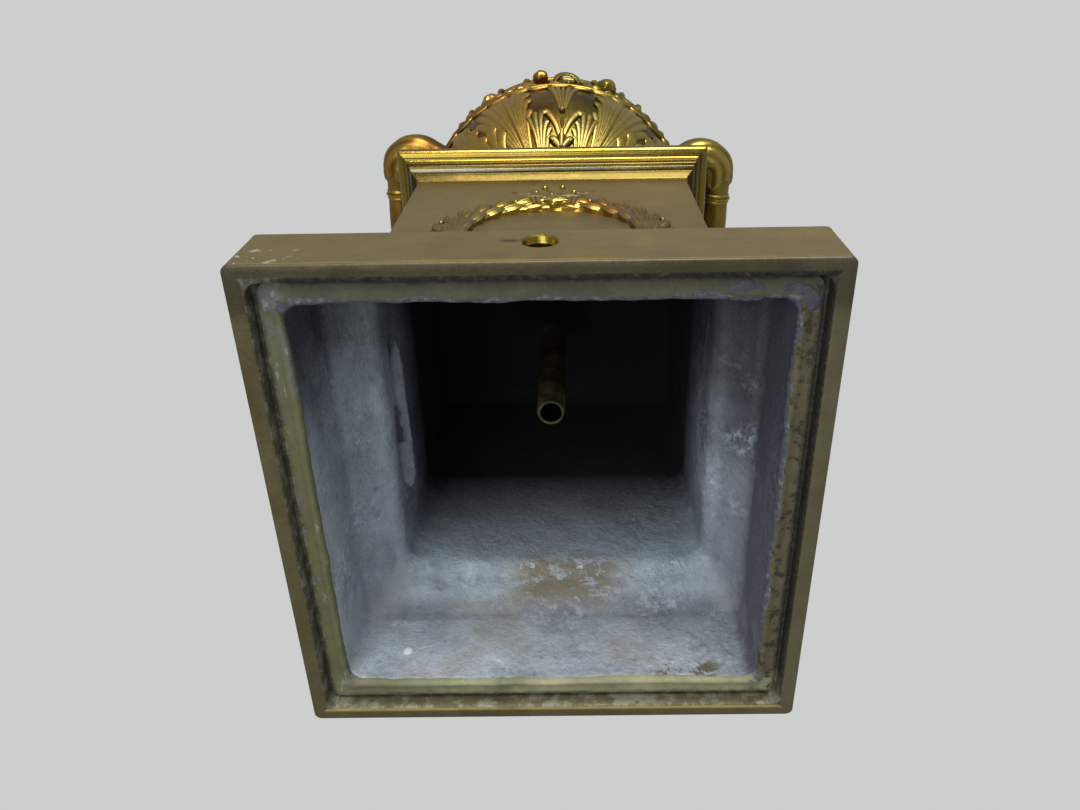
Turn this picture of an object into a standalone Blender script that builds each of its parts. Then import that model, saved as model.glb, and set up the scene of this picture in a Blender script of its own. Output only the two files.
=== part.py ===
"""Gilt mantel urn cast with a square pedestal.

The urn stands upright, +Z up, with the origin under the middle of the pedestal.
Its front, which carries the wreath and the cord hole, faces -Y.
"""
import math

import bmesh
import bpy
from mathutils import Matrix, Vector

# Clearance left between pieces that touch
GAP = 0.0003

# Pedestal: base block, second course, die and cornice
BASE_WIDTH = 0.160
BASE_HEIGHT = 0.026
BASE_CORNER = 0.0025
BASE_EDGE = 0.0010
COURSE_INSET = 0.007
COURSE_HEIGHT = 0.017
COVE_HEIGHT = 0.011
DIE_FILLET = 0.002
DIE_WIDTH = 0.1144
PEDESTAL_HEIGHT = 0.183
CORNICE_HEIGHT = 0.0172
CORNICE_OVERHANG = 0.0107

# Cornice: depths below its top, then reaches as shares of its overhang
ARRIS = 0.0006
OVOLO_TOP = 0.0010
OVOLO_DROP = 0.0028
CYMA_TOP = 0.0046
CYMA_HALF_DROP = 0.0024
FILLET_LOW = 0.0108
FILLET_SET_BACK = 0.0016
BEAD_TOP = 0.0128
BEAD_LOW = 0.0140
OVOLO_SHARE = 0.27
CYMA_SHARE = 0.30
BEAD_SHARE = 0.31

# Hollow underside
RIM_BAND = 0.005
RIM_LEDGE = 0.007
RIM_DEPTH = 0.0045
GROOVE_WIDTH = 0.0012
GROOVE_DEPTH = 0.0015
COVE_WALL = 0.0034
DIE_WALL = 0.0032
TOP_THICKNESS = 0.007

# Cord hole through the front of the base block
CORD_HOLE = 0.0092
CORD_HOLE_HEIGHT = 0.016
CORD_HOLE_COUNTERSINK = 0.0124

# Brass pipe down the middle
PIPE_DIAMETER = 0.01035
PIPE_BORE = 0.0072
PIPE_BOTTOM = 0.066
PIPE_SOCKET = 0.040

# Laurel wreath on the die
WREATH_RADIUS = 0.0370
WREATH_WIDTH = 0.0150
WREATH_RISE = 0.0050
WREATH_HEIGHT = 0.0915
WREATH_LEAVES = 11
LEAF_STEP = 0.0016
BOSS_RADIUS = 0.0055
BOW_LOOP = 0.0085
BOW_RISE = 0.0016
BOW_EDGE = 0.0010

# Urn, heights counted from the top of the pedestal
FOOT_RADIUS = 0.046
FOOT_HEIGHT = 0.012
FOOT_BEVEL = 0.003
FOOT_ROLL = 0.004
FOOT_LEDGE = 0.008
STEM_RADIUS = 0.0150
STEM_HEIGHT = 0.040
KNOP_RADIUS = 0.021
KNOP_HALF_HEIGHT = 0.0045
BOWL_START = 0.050
BOWL_RADIUS = 0.0745
BOWL_RIM = 0.117
RIM_BEAD = 0.0016
FRIEZE_RADIUS = 0.0715
FRIEZE_HEIGHT = 0.040
SHOULDER_HEIGHT = 0.020
NECK_RADIUS = 0.046
NECK_HEIGHT = 0.010
MOUTH_RADIUS = 0.060
MOUTH_HEIGHT = 0.020
LIP_RADIUS = 0.0022
URN_WALL = 0.0030

# Acanthus on the bowl: bearing from the front in degrees, start and end along the bowl from 0 at
# the stem to 1 at the rim, half width in metres, number of lobes on a side
BOWL_LEAVES = (
    (0.0, 0.42, 0.98, 0.0036, 0),
    (12.0, 0.36, 0.70, 0.0064, 2),
    (29.0, 0.34, 0.97, 0.0125, 3),
    (57.0, 0.34, 0.76, 0.0120, 2),
    (90.0, 0.34, 0.80, 0.0140, 2),
)
LEAF_RISE = 0.0038
LEAF_EDGE = 0.0012
LEAF_CURL = 0.0024

# Garland round the frieze
GARLAND_SAG = 0.012
GARLAND_BUDS = 5
BUD_RADIUS = 0.0052
RIBBON_LOOP = 0.0072
RIBBON_STAND = 0.0055
RIBBON_BEARING = 4.8
RIBBON_THICKNESS = 0.0017
# Single blooms among the ribbons: bearing in degrees, radius, how far the middle stands out
BLOOMS = (
    (-6.4, 0.0042, 0.0045),
    (22.5, 0.0055, 0.0035),
    (-31.0, 0.0060, 0.0005),
)

# Handles, one each side, each a loop that lies level
HANDLE_HEIGHT = 0.109
HANDLE_REACH = 0.0975
GRIP_THICKNESS = 0.0135
BRANCH_THICKNESS = 0.0170
GRIP_HALF_LENGTH = 0.020
BRANCH_SPREAD = 0.0405
COLLAR_OFFSET = 0.0165
COLLAR_RISE = 0.0012
COLLAR_HALF_WIDTH = 0.0020
COLLAR_SLOPE = 0.0005
HANDLE_LEAF_RISE = 0.0016
HANDLE_LEAF_EDGE = 0.0008
HANDLE_LEAF_SINK = 0.0020
# Each branch runs on to a round shoulder, turns back towards the bowl and ends inside it,
# where it is cut to the urn's outside
SHOULDER_REACH = 0.0892
SHOULDER_BEND = 0.010
SHOULDER_TURN = 120
BRANCH_TAIL = 0.0165
SWELL_LENGTH = 0.012
# Share of the handle's path that the straight grip takes
GRIP_SHARE = 0.34

# Smoothness of the round forms
TURNED_STEPS = 32
HOLLOW_STEPS = 24
PIPE_STEPS = 18
TUBE_SIDES = 9
BEND_STEPS = 8

PARTS = "mantel_urn"
CUTTERS = "construction"

URN_BASE = PEDESTAL_HEIGHT + GAP
DIE_HALF = DIE_WIDTH / 2
COURSE_HALF = BASE_WIDTH / 2 - COURSE_INSET
DIE_FOOT = BASE_HEIGHT + COURSE_HEIGHT + COVE_HEIGHT + DIE_FILLET


def clear_scene():
    for item in list(bpy.data.objects):
        bpy.data.objects.remove(item, do_unlink=True)
    for group in list(bpy.data.collections):
        bpy.data.collections.remove(group)


def add_collection(name):
    group = bpy.data.collections.new(name)
    bpy.context.scene.collection.children.link(group)
    return group


def add_material(name, colour, roughness, metallic):
    material = bpy.data.materials.new(name)
    material.use_nodes = True
    shader = material.node_tree.nodes["Principled BSDF"]
    shader.inputs["Base Color"].default_value = (*colour, 1.0)
    shader.inputs["Roughness"].default_value = roughness
    shader.inputs["Metallic"].default_value = metallic
    material.diffuse_color = (*colour, 1.0)
    return material


def add_object(name, mesh, group, material=None):
    item = bpy.data.objects.new(name, mesh)
    group.objects.link(item)
    if material is not None:
        mesh.materials.append(material)
    return item


def mesh_from(bm, name):
    bmesh.ops.recalc_face_normals(bm, faces=bm.faces)
    mesh = bpy.data.meshes.new(name)
    bm.to_mesh(mesh)
    bm.free()
    return mesh


def add_cutter(name, mesh, group):
    item = add_object(name, mesh, group)
    item.hide_render = True
    item.display_type = "WIRE"
    return item


def boolean(item, other, operation, own_overlaps=False):
    step = item.modifiers.new(other.name, "BOOLEAN")
    step.operation = operation
    step.solver = "EXACT"
    step.object = other
    step.use_self = own_overlaps
    return step


def arc(centre, radii, start, end, steps):
    """Points on an elliptical arc, angles in degrees, both ends included."""
    points = []
    for i in range(steps + 1):
        angle = math.radians(start + (end - start) * i / steps)
        x = centre[0] + radii[0] * math.cos(angle)
        z = centre[1] + radii[1] * math.sin(angle)
        points.append((x, z))
    return points


def offset_profile(points, distance):
    """Move an open profile sideways; a positive distance goes left of its direction."""
    moved = []
    last = len(points) - 1
    for i, point in enumerate(points):
        before = Vector(points[max(i - 1, 0)])
        after = Vector(points[min(i + 1, last)])
        run = (after - before).normalized()
        moved.append((point[0] - run.y * distance, point[1] + run.x * distance))
    return moved


def turned_mesh(name, profile, steps, closed=False, square=False):
    """Turn a profile that runs down its outer side; a square plan is a turn of four steps."""
    scale = math.sqrt(2) if square else 1.0
    mesh = bpy.data.meshes.new(name + "_profile")
    edges = [(i, i + 1) for i in range(len(profile) - 1)]
    if closed:
        edges.append((len(profile) - 1, 0))
    mesh.from_pydata([(x * scale, 0.0, z) for x, z in profile], edges, [])
    item = bpy.data.objects.new(name + "_turned", mesh)
    bpy.context.scene.collection.objects.link(item)
    screw = item.modifiers.new("turn", "SCREW")
    screw.steps = 4 if square else steps
    screw.render_steps = screw.steps
    screw.use_merge_vertices = True
    screw.merge_threshold = 0.00001
    turned = bpy.data.meshes.new_from_object(item.evaluated_get(bpy.context.evaluated_depsgraph_get()))
    bpy.data.objects.remove(item, do_unlink=True)
    bm = bmesh.new()
    bm.from_mesh(turned)
    bpy.data.meshes.remove(turned)
    if square:
        bmesh.ops.rotate(bm, verts=bm.verts, matrix=Matrix.Rotation(math.radians(45), 3, "Z"))
    return mesh_from(bm, name)


def add_shell(bm, rings):
    """Loft closed sections of equal count and cap both ends."""
    loops = [[bm.verts.new(point) for point in ring] for ring in rings]
    count = len(loops[0])
    for low, high in zip(loops, loops[1:]):
        for i in range(count):
            j = (i + 1) % count
            bm.faces.new((low[i], low[j], high[j], high[i]))
    bm.faces.new(list(reversed(loops[0])))
    bm.faces.new(loops[-1])


def leaf_half_width(t, half_width, lobes):
    """Width of a leaf at t from stalk to tip; lobes swell between the notches."""
    shape = math.sin(math.pi * (0.08 + 0.88 * t) ** 1.25)
    if lobes:
        wave = math.cos(2 * math.pi * lobes * t)
        shape *= 0.80 - 0.20 * wave
    return half_width * max(shape, 0.10)


def add_leaf(bm, place, length, half_width, lobes, rise, edge, sink, curl=0.0):
    """A leaf on a surface that place(along, across, height) describes; its tip lifts by curl."""
    steps = 2 * lobes if lobes else 4
    rings = []
    for i in range(steps + 1):
        t = i / steps
        half = leaf_half_width(t, half_width, lobes)
        along = length * t
        lean = 0.08 * length if 0 < i < steps and i % 2 else 0.0
        swell = 0.35 + 0.65 * math.sin(math.pi * min(0.15 + 0.8 * t, 1.0))
        lift = curl * t ** 3
        rings.append((
            place(along + lean, -half, -sink),
            place(along + lean, -half, edge + lift),
            place(along, 0.0, rise * swell + edge * 0.2 + lift),
            place(along + lean, half, edge + lift),
            place(along + lean, half, -sink),
        ))
    add_shell(bm, rings)


def add_ball(bm, centre, radius):
    bmesh.ops.create_icosphere(
        bm, subdivisions=1, radius=radius, matrix=Matrix.Translation(centre))


def cove_profile():
    """Cove between the die and the second course, from the die outward and down."""
    inner = DIE_HALF + DIE_FILLET
    centre = (COURSE_HALF, DIE_FOOT - DIE_FILLET)
    return arc(centre, (COURSE_HALF - inner, COVE_HEIGHT), 180, 270, 3)


def pedestal_profile():
    """Outside of second course, die and cornice as half widths, from the top middle downward."""
    top = PEDESTAL_HEIGHT
    lip = DIE_HALF + CORNICE_OVERHANG
    ovolo = CORNICE_OVERHANG * OVOLO_SHARE
    half_cyma = CORNICE_OVERHANG * CYMA_SHARE / 2
    profile = [(0.0, top), (lip - ARRIS, top), (lip, top - ARRIS)]
    profile += arc((lip - ovolo, top - OVOLO_TOP), (ovolo, OVOLO_DROP), 0, -90, 3)
    # Cyma, hollow above and round below
    inner = lip - ovolo - ARRIS / 2
    middle = top - CYMA_TOP - CYMA_HALF_DROP
    fillet = inner - 2 * half_cyma
    profile += [(inner, top - CYMA_TOP)]
    profile += arc((inner, middle), (half_cyma, CYMA_HALF_DROP), 90, 180, 2)[1:]
    profile += arc((fillet, middle), (half_cyma, CYMA_HALF_DROP), 0, -90, 2)[1:]
    # Fillet and groove, then the bead that closes the cornice
    groove = fillet - FILLET_SET_BACK
    bead = DIE_HALF + CORNICE_OVERHANG * BEAD_SHARE
    profile += [(fillet, top - FILLET_LOW), (groove, top - FILLET_LOW)]
    profile += [(groove, top - BEAD_TOP + ARRIS / 2), (bead, top - BEAD_TOP - ARRIS / 2)]
    profile += [(bead, top - BEAD_LOW), (DIE_HALF, top - CORNICE_HEIGHT)]
    profile += [(DIE_HALF, DIE_FOOT), (DIE_HALF + DIE_FILLET, DIE_FOOT - DIE_FILLET / 2)]
    profile += cove_profile()
    # The second course runs a little way down into the block
    inside_block = BASE_HEIGHT * 0.85
    return profile + [(COURSE_HALF, inside_block), (0.0, inside_block)]


def hollow_profile():
    """Hollow underside as half widths, from the middle of its roof down to below the base."""
    half = BASE_WIDTH / 2
    ledge = half - RIM_BAND
    mouth = ledge - RIM_LEDGE
    neck = DIE_HALF - DIE_WALL
    roof = PEDESTAL_HEIGHT - TOP_THICKNESS
    slope = [spot for spot in offset_profile(cove_profile(), -COVE_WALL) if neck < spot[0] < mouth]
    return [
        (0.0, roof),
        (neck, roof),
        (neck, DIE_FOOT - DIE_FILLET),
        *slope,
        (mouth, slope[-1][1] - COVE_WALL / 2),
        (mouth, RIM_DEPTH),
        (ledge - GROOVE_WIDTH, RIM_DEPTH),
        (ledge - GROOVE_WIDTH, RIM_DEPTH + GROOVE_DEPTH),
        (ledge, RIM_DEPTH + GROOVE_DEPTH),
        (ledge, -RIM_DEPTH),
        (0.0, -RIM_DEPTH),
    ]


def base_block_mesh():
    bm = bmesh.new()
    bmesh.ops.create_cube(bm, size=1.0)
    bmesh.ops.scale(bm, vec=(BASE_WIDTH, BASE_WIDTH, BASE_HEIGHT), verts=bm.verts)
    bmesh.ops.translate(bm, vec=(0, 0, BASE_HEIGHT / 2), verts=bm.verts)
    upright = [e for e in bm.edges if abs(e.verts[0].co.z - e.verts[1].co.z) > BASE_HEIGHT / 2]
    bmesh.ops.bevel(bm, geom=upright, offset=BASE_CORNER, segments=3, profile=0.5, affect="EDGES")
    top = [e for e in bm.edges if all(v.co.z > BASE_HEIGHT * 0.9 for v in e.verts)]
    bmesh.ops.bevel(bm, geom=top, offset=BASE_EDGE, segments=2, profile=0.5, affect="EDGES")
    return mesh_from(bm, "base_block")


def cord_hole_mesh():
    """A countersunk hole that runs from outside the block's front into the hollow."""
    bm = bmesh.new()
    front = -BASE_WIDTH / 2
    depth = RIM_BAND + RIM_LEDGE + 0.010
    turn = Matrix.Rotation(math.radians(90), 4, "X")
    middle = Matrix.Translation((0, front + depth / 2 - 0.004, CORD_HOLE_HEIGHT))
    bmesh.ops.create_cone(
        bm, cap_ends=True, segments=PIPE_STEPS, radius1=CORD_HOLE / 2, radius2=CORD_HOLE / 2,
        depth=depth, matrix=middle @ turn)
    return mesh_from(bm, "cord_hole")


def countersink_mesh():
    bm = bmesh.new()
    flare = (CORD_HOLE_COUNTERSINK - CORD_HOLE) / 2
    reach = 2 * flare
    turn = Matrix.Rotation(math.radians(90), 4, "X")
    middle = Matrix.Translation((0, -BASE_WIDTH / 2, CORD_HOLE_HEIGHT))
    bmesh.ops.create_cone(
        bm, cap_ends=True, segments=PIPE_STEPS, radius1=CORD_HOLE / 2, radius2=CORD_HOLE / 2 + reach,
        depth=reach * 2, matrix=middle @ turn)
    return mesh_from(bm, "countersink")


def wreath_ring(turn, phase):
    """Section of the wreath at an angle from its foot; phase runs 0 to 1 along each leaf."""
    sink = DIE_WALL / 2
    half = WREATH_WIDTH / 2
    swell = 0.72 + 0.28 * math.sin(math.pi * min(phase * 1.25, 1.0))
    lift = LEAF_STEP * phase
    points = (
        (-half * 0.94, -sink),
        (-half * (0.94 - 0.09 * (1 - swell)), WREATH_RISE * 0.35),
        (-half * 0.50, WREATH_RISE * 0.86 + lift),
        (0.0, WREATH_RISE * 0.80 + lift * 0.3),
        (half * 0.55, WREATH_RISE * 0.80 + lift),
        (half * (0.80 + 0.45 * swell), WREATH_RISE * 0.22 + lift * 0.4),
        (half * (0.75 + 0.40 * swell), -sink),
    )
    ring = []
    for offset, height in points:
        radius = WREATH_RADIUS + offset
        x = radius * math.sin(turn)
        z = WREATH_HEIGHT - radius * math.cos(turn)
        ring.append(Vector((x, -DIE_HALF - height, z)))
    return ring


def on_die(centre, direction):
    """Place for a leaf or ribbon that lies flat on the die."""
    run = Vector((math.cos(direction), 0.0, math.sin(direction)))
    side = Vector((-run.z, 0.0, run.x))

    def place(along, across, height):
        spot = Vector((centre[0], -DIE_HALF, centre[1])) + run * along + side * across
        return spot - Vector((0.0, height, 0.0))
    return place


def add_hoop(bm, rings):
    """Loft closed sections into a closed hoop."""
    loops = [[bm.verts.new(point) for point in ring] for ring in rings]
    count = len(loops[0])
    for i, low in enumerate(loops):
        high = loops[(i + 1) % len(loops)]
        for j in range(count):
            k = (j + 1) % count
            bm.faces.new((low[j], low[k], high[k], high[j]))


def wreath_mesh():
    """Laurel that grows up both sides in overlapping leaves, a boss at its top and a ribbon bow."""
    bm = bmesh.new()
    pitch = math.pi / WREATH_LEAVES
    rings = []
    for side in (1, -1):
        for i in range(WREATH_LEAVES):
            for phase in (0.06, 0.50, 0.98):
                turn = (i + phase) * pitch
                rings.append((side * turn, phase))
    rings.sort()
    add_hoop(bm, [wreath_ring(turn, phase) for turn, phase in rings])
    top = WREATH_HEIGHT + WREATH_RADIUS
    add_ball(bm, Vector((0.0, -DIE_HALF - WREATH_RISE * 0.75, top)), BOSS_RADIUS)
    for side in (-1, 1):
        # Bow loops above the boss, then the ribbon's tails
        for spread, size in ((50, 1.0), (14, 0.9)):
            bearing = math.radians(90 - side * spread)
            reach = WREATH_WIDTH * 0.62
            centre = (reach * math.cos(bearing), top + reach * math.sin(bearing))
            add_leaf(bm, on_die(centre, bearing), 2 * BOW_LOOP * size, BOW_LOOP * 0.34, 0,
                     BOW_RISE, BOW_EDGE, DIE_WALL / 2)
    return mesh_from(bm, "wreath")


def build_pedestal(parts, cutters, material):
    block = add_cutter("base_block", base_block_mesh(), cutters)
    hollow = add_cutter("hollow", turned_mesh("hollow", hollow_profile(), 4, square=True), cutters)
    hole = add_cutter("cord_hole", cord_hole_mesh(), cutters)
    sink = add_cutter("countersink", countersink_mesh(), cutters)
    wreath = add_cutter("wreath", wreath_mesh(), cutters)
    profile = [(PIPE_DIAMETER / 2 + GAP, PEDESTAL_HEIGHT + 0.005),
               (PIPE_DIAMETER / 2 + GAP, PEDESTAL_HEIGHT - TOP_THICKNESS - 0.005)]
    profile = [(0.0, profile[0][1])] + profile + [(0.0, profile[1][1])]
    bore = add_cutter("pipe_bore", turned_mesh("pipe_bore", profile, PIPE_STEPS), cutters)
    body = add_object(
        "pedestal", turned_mesh("pedestal", pedestal_profile(), 4, square=True), parts, material)
    boolean(body, block, "UNION")
    boolean(body, wreath, "UNION", own_overlaps=True)
    boolean(body, hollow, "DIFFERENCE")
    boolean(body, sink, "DIFFERENCE")
    boolean(body, hole, "DIFFERENCE")
    boolean(body, bore, "DIFFERENCE")
    return body


def build_pipe(parts, material):
    top = URN_BASE + PIPE_SOCKET - GAP
    outer = PIPE_DIAMETER / 2
    inner = PIPE_BORE / 2
    profile = [(outer, top), (outer, PIPE_BOTTOM), (inner, PIPE_BOTTOM), (inner, top)]
    mesh = turned_mesh("lamp_pipe", profile, PIPE_STEPS, closed=True)
    pipe = add_object("lamp_pipe", mesh, parts, material)
    mesh.shade_smooth()
    mesh.set_sharp_from_angle(angle=math.radians(40))
    return pipe


def bowl_curve(t):
    """Radius and height of the bowl's outside at t from the stem (0) to the rim (1)."""
    low = BOWL_START
    high = BOWL_RIM
    angle = math.radians(12 + 78 * t)
    start = math.sin(math.radians(12))
    span = math.cos(math.radians(12))
    radius = STEM_RADIUS + (BOWL_RADIUS - STEM_RADIUS) * (math.sin(angle) - start) / (1 - start)
    height = high - (high - low) * math.cos(angle) / span
    return radius, height


def body_core(bowl_steps=8):
    """Plain outside of the urn from the bowl's stem up to its mouth."""
    rim = BOWL_RIM
    frieze_top = rim + FRIEZE_HEIGHT
    neck = frieze_top + SHOULDER_HEIGHT
    mouth = neck + NECK_HEIGHT + MOUTH_HEIGHT
    points = [bowl_curve(i / bowl_steps) for i in range(bowl_steps + 1)]
    points += [(FRIEZE_RADIUS, rim + 0.004), (FRIEZE_RADIUS, frieze_top)]
    points += arc((NECK_RADIUS, frieze_top), (FRIEZE_RADIUS - NECK_RADIUS, SHOULDER_HEIGHT), 20, 80, 3)
    points += [(NECK_RADIUS, neck + NECK_HEIGHT / 2)]
    flare = MOUTH_RADIUS - NECK_RADIUS
    points += arc((MOUTH_RADIUS, neck + NECK_HEIGHT), (flare, MOUTH_HEIGHT), 180, 90, 3)
    return points, mouth


def mouldings(core):
    """Add the rim roll and frieze ledge to the plain outside, working from bowl to mouth."""
    rim = BOWL_RIM
    shaped = []
    for radius, height in core:
        if abs(height - rim) < 1e-6:
            shaped += arc((BOWL_RADIUS, rim), (RIM_BEAD * 1.4, RIM_BEAD), -90, 90, 4)
        elif abs(height - rim - FRIEZE_HEIGHT) < 1e-6 and radius >= FRIEZE_RADIUS - 1e-6:
            shaped += arc((FRIEZE_RADIUS, height), (RIM_BEAD * 1.5, RIM_BEAD), -90, 90, 2)
        else:
            shaped.append((radius, height))
    return shaped


def body_profile():
    """Closed outside of bowl, frieze, neck and lip from the top middle down into the stem."""
    core, mouth = body_core()
    lip = arc((MOUTH_RADIUS - LIP_RADIUS, mouth - LIP_RADIUS), (LIP_RADIUS * 2, LIP_RADIUS), 90, -60, 4)
    upward = mouldings(core)[:-1]
    return [(0.0, mouth)] + lip + list(reversed(upward)) + [(0.0, upward[0][1])]


def inside_profile():
    """Hollow of the urn: its outside moved in by the wall, open through the mouth."""
    core, mouth = body_core(bowl_steps=6)
    inner = offset_profile(core[1:], URN_WALL)
    above = mouth + 0.01
    top_radius = MOUTH_RADIUS - URN_WALL - LIP_RADIUS / 2
    inner[-1] = (top_radius, mouth - 0.001)
    return [(0.0, above), (top_radius, above)] + list(reversed(inner)) + [(0.0, inner[0][1])]


def foot_profile():
    """Foot, cavetto, stem and knop, from the top middle down to the pedestal."""
    top = BOWL_START + URN_WALL
    knop = STEM_HEIGHT + FOOT_ROLL
    ledge = FOOT_RADIUS - FOOT_LEDGE
    low = STEM_HEIGHT - FOOT_BEVEL
    roll = FOOT_RADIUS - FOOT_ROLL
    points = [(0.0, top), (STEM_RADIUS, top)]
    points += arc((STEM_RADIUS, knop), (KNOP_RADIUS - STEM_RADIUS, KNOP_HALF_HEIGHT), 80, -80, 3)
    points += arc((ledge, low), (ledge - STEM_RADIUS, low - FOOT_HEIGHT), 180, 270, 3)
    points += [(roll, FOOT_HEIGHT)]
    points += arc((roll, FOOT_HEIGHT - FOOT_ROLL), (FOOT_ROLL, FOOT_ROLL), 60, -60, 2)
    points += [(FOOT_RADIUS, FOOT_BEVEL), (FOOT_RADIUS, 0.0), (0.0, 0.0)]
    return points


def on_bowl(bearing, start, length):
    """Place for a leaf that grows up the bowl; bearing counts from the front."""
    def place(along, across, height):
        t = min(start + along / length, 1.04)
        radius, level = bowl_curve(t)
        above = bowl_curve(t + 0.01)
        run = Vector((above[0] - radius, above[1] - level)).normalized()
        out = Vector((run.y, -run.x))
        angle = bearing + across / radius
        spread = radius + out.x * height
        return Vector((spread * math.sin(angle), -spread * math.cos(angle), level + out.y * height))
    return place


def leaf_sides(facing, bearing):
    """Leaves come in pairs, but for the one in the middle and those under the handles."""
    if bearing == 0:
        return (1,)
    if bearing == 90:
        return (1,) if facing == 0 else (-1,)
    return (-1, 1)


def bowl_leaves_mesh():
    bm = bmesh.new()
    length = math.hypot(BOWL_RADIUS - STEM_RADIUS, BOWL_RIM - BOWL_START) * 1.08
    sink = URN_WALL * 0.5
    for facing in (0, 180):
        for bearing, start, end, half_width, lobes in BOWL_LEAVES:
            for side in leaf_sides(facing, bearing):
                place = on_bowl(math.radians(facing + side * bearing), start, length)
                add_leaf(bm, place, (end - start) * length / 1.1, half_width, lobes,
                         LEAF_RISE, LEAF_EDGE, sink, LEAF_CURL)
    return mesh_from(bm, "bowl_leaves")


def on_frieze(bearing, level, height):
    radius = FRIEZE_RADIUS + height
    return Vector((radius * math.sin(bearing), -radius * math.cos(bearing), level))


def garland_mesh():
    """Four festoons of buds hung between the ribbon bows."""
    bm = bmesh.new()
    hang = BOWL_RIM + FRIEZE_HEIGHT * 0.68
    quarter = math.radians(90)
    steps = 2 * GARLAND_BUDS
    for corner in range(4):
        rings = []
        for i in range(steps + 1):
            share = 0.04 + 0.92 * i / steps
            bearing = (corner + share) * quarter
            level = hang - GARLAND_SAG * 4 * share * (1 - share)
            waist = 1.0 if i % 2 else 0.62
            size = BUD_RADIUS * waist * (0.65 + 0.35 * math.sin(math.pi * share))
            ring = []
            for j in range(5):
                roll = 2 * math.pi * j / 5
                reach = max(size * (0.25 + 0.85 * math.cos(roll)), -URN_WALL / 2)
                ring.append(on_frieze(bearing, level + size * 1.25 * math.sin(roll), reach))
            rings.append(ring)
        add_shell(bm, rings)
    return mesh_from(bm, "garland")


def ribbon_rings(facing, level):
    """Sections of one ribbon loop, from the frieze out and back into it."""
    bearing = math.radians(facing + RIBBON_BEARING)
    centre = on_frieze(bearing, level, 0.0005)
    turn = Matrix.Rotation(bearing, 4, "Z")
    rings = []
    for i in range(8):
        angle = math.radians(-14 + 208 * i / 7)
        ring = []
        for j in range(5):
            roll = 2 * math.pi * j / 5
            flare = RIBBON_THICKNESS * math.cos(roll)
            spot = Vector((
                (RIBBON_LOOP + flare) * math.cos(angle),
                -(RIBBON_STAND + flare) * math.sin(angle),
                RIBBON_THICKNESS * 1.5 * math.sin(roll)))
            ring.append(turn @ spot + centre)
        rings.append(ring)
    return rings


def bows_mesh():
    """Ribbon loops that stand out level, open so that light passes through, and the blooms."""
    bm = bmesh.new()
    level = BOWL_RIM + FRIEZE_HEIGHT * 0.55
    for facing in (0, 180):
        add_shell(bm, ribbon_rings(facing, level))
        for bearing, radius, stand in BLOOMS:
            add_ball(bm, on_frieze(math.radians(facing + bearing), level, stand), radius)
    return mesh_from(bm, "bows")


def build_body(parts, cutters, material):
    turned = turned_mesh("urn_body", body_profile(), TURNED_STEPS)
    body = add_object("urn_body", turned, parts, material)
    foot = add_cutter("foot", turned_mesh("foot", foot_profile(), TURNED_STEPS), cutters)
    leaves = add_cutter("bowl_leaves", bowl_leaves_mesh(), cutters)
    garland = add_cutter("garland", garland_mesh(), cutters)
    bows = add_cutter("bows", bows_mesh(), cutters)
    inside = add_cutter("inside", turned_mesh("inside", inside_profile(), HOLLOW_STEPS), cutters)
    socket_radius = PIPE_DIAMETER / 2 + GAP
    below = -2 * URN_WALL
    socket = [(0.0, PIPE_SOCKET), (socket_radius, PIPE_SOCKET), (socket_radius, below), (0.0, below)]
    bore = add_cutter("socket", turned_mesh("socket", socket, PIPE_STEPS), cutters)
    boolean(body, foot, "UNION")
    boolean(body, leaves, "UNION", own_overlaps=True)
    boolean(body, garland, "UNION", own_overlaps=True)
    boolean(body, bows, "UNION", own_overlaps=True)
    boolean(body, inside, "DIFFERENCE")
    boolean(body, bore, "DIFFERENCE")
    return body


def handle_path(t):
    """Middle line of the right handle in plan and its radius; t runs from -1 to 1."""
    grip = GRIP_THICKNESS / 2
    branch = BRANCH_THICKNESS / 2
    line = HANDLE_REACH - grip
    side = -1 if t < 0 else 1
    straight = GRIP_SHARE
    if abs(t) <= straight:
        return Vector((line, t / straight * GRIP_HALF_LENGTH)), grip
    middle = Vector((SHOULDER_REACH - SHOULDER_BEND, BRANCH_SPREAD - SHOULDER_BEND))
    start = Vector((line, GRIP_HALF_LENGTH))
    corner = Vector((SHOULDER_REACH, middle.y))
    lead = (corner - start).length
    full_turn = math.radians(SHOULDER_TURN)
    round_length = SHOULDER_BEND * full_turn
    gone = (abs(t) - straight) / (1 - straight) * (lead + round_length + BRANCH_TAIL)
    turn = min(max((gone - lead) / SHOULDER_BEND, 0.0), full_turn)
    tail = max(gone - lead - round_length, 0.0)
    spot = middle + Vector((math.cos(turn), math.sin(turn))) * SHOULDER_BEND
    spot += Vector((-math.sin(turn), math.cos(turn))) * tail
    if gone < lead:
        spot = start.lerp(corner, gone / lead)
    swell = min(1.0, gone / SWELL_LENGTH)
    return Vector((spot.x, side * spot.y)), grip + (branch - grip) * swell


def handle_frame(t):
    spot, radius = handle_path(t)
    ahead = handle_path(min(t + 0.01, 1.0))[0] - handle_path(max(t - 0.01, -1.0))[0]
    run = ahead.normalized()
    return spot, radius, Vector((run.y, -run.x))


def on_handle(start, direction, roll):
    """Place for a leaf that lies along the handle from t = start."""
    def place(along, across, height):
        t = start + direction * along
        spot, radius, out = handle_frame(max(-1.0, min(1.0, t)))
        angle = roll + across / radius
        reach = (radius + height) * math.cos(angle)
        level = HANDLE_HEIGHT + (radius + height) * math.sin(angle)
        return Vector((spot.x + out.x * reach, spot.y + out.y * reach, level))
    return place


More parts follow.
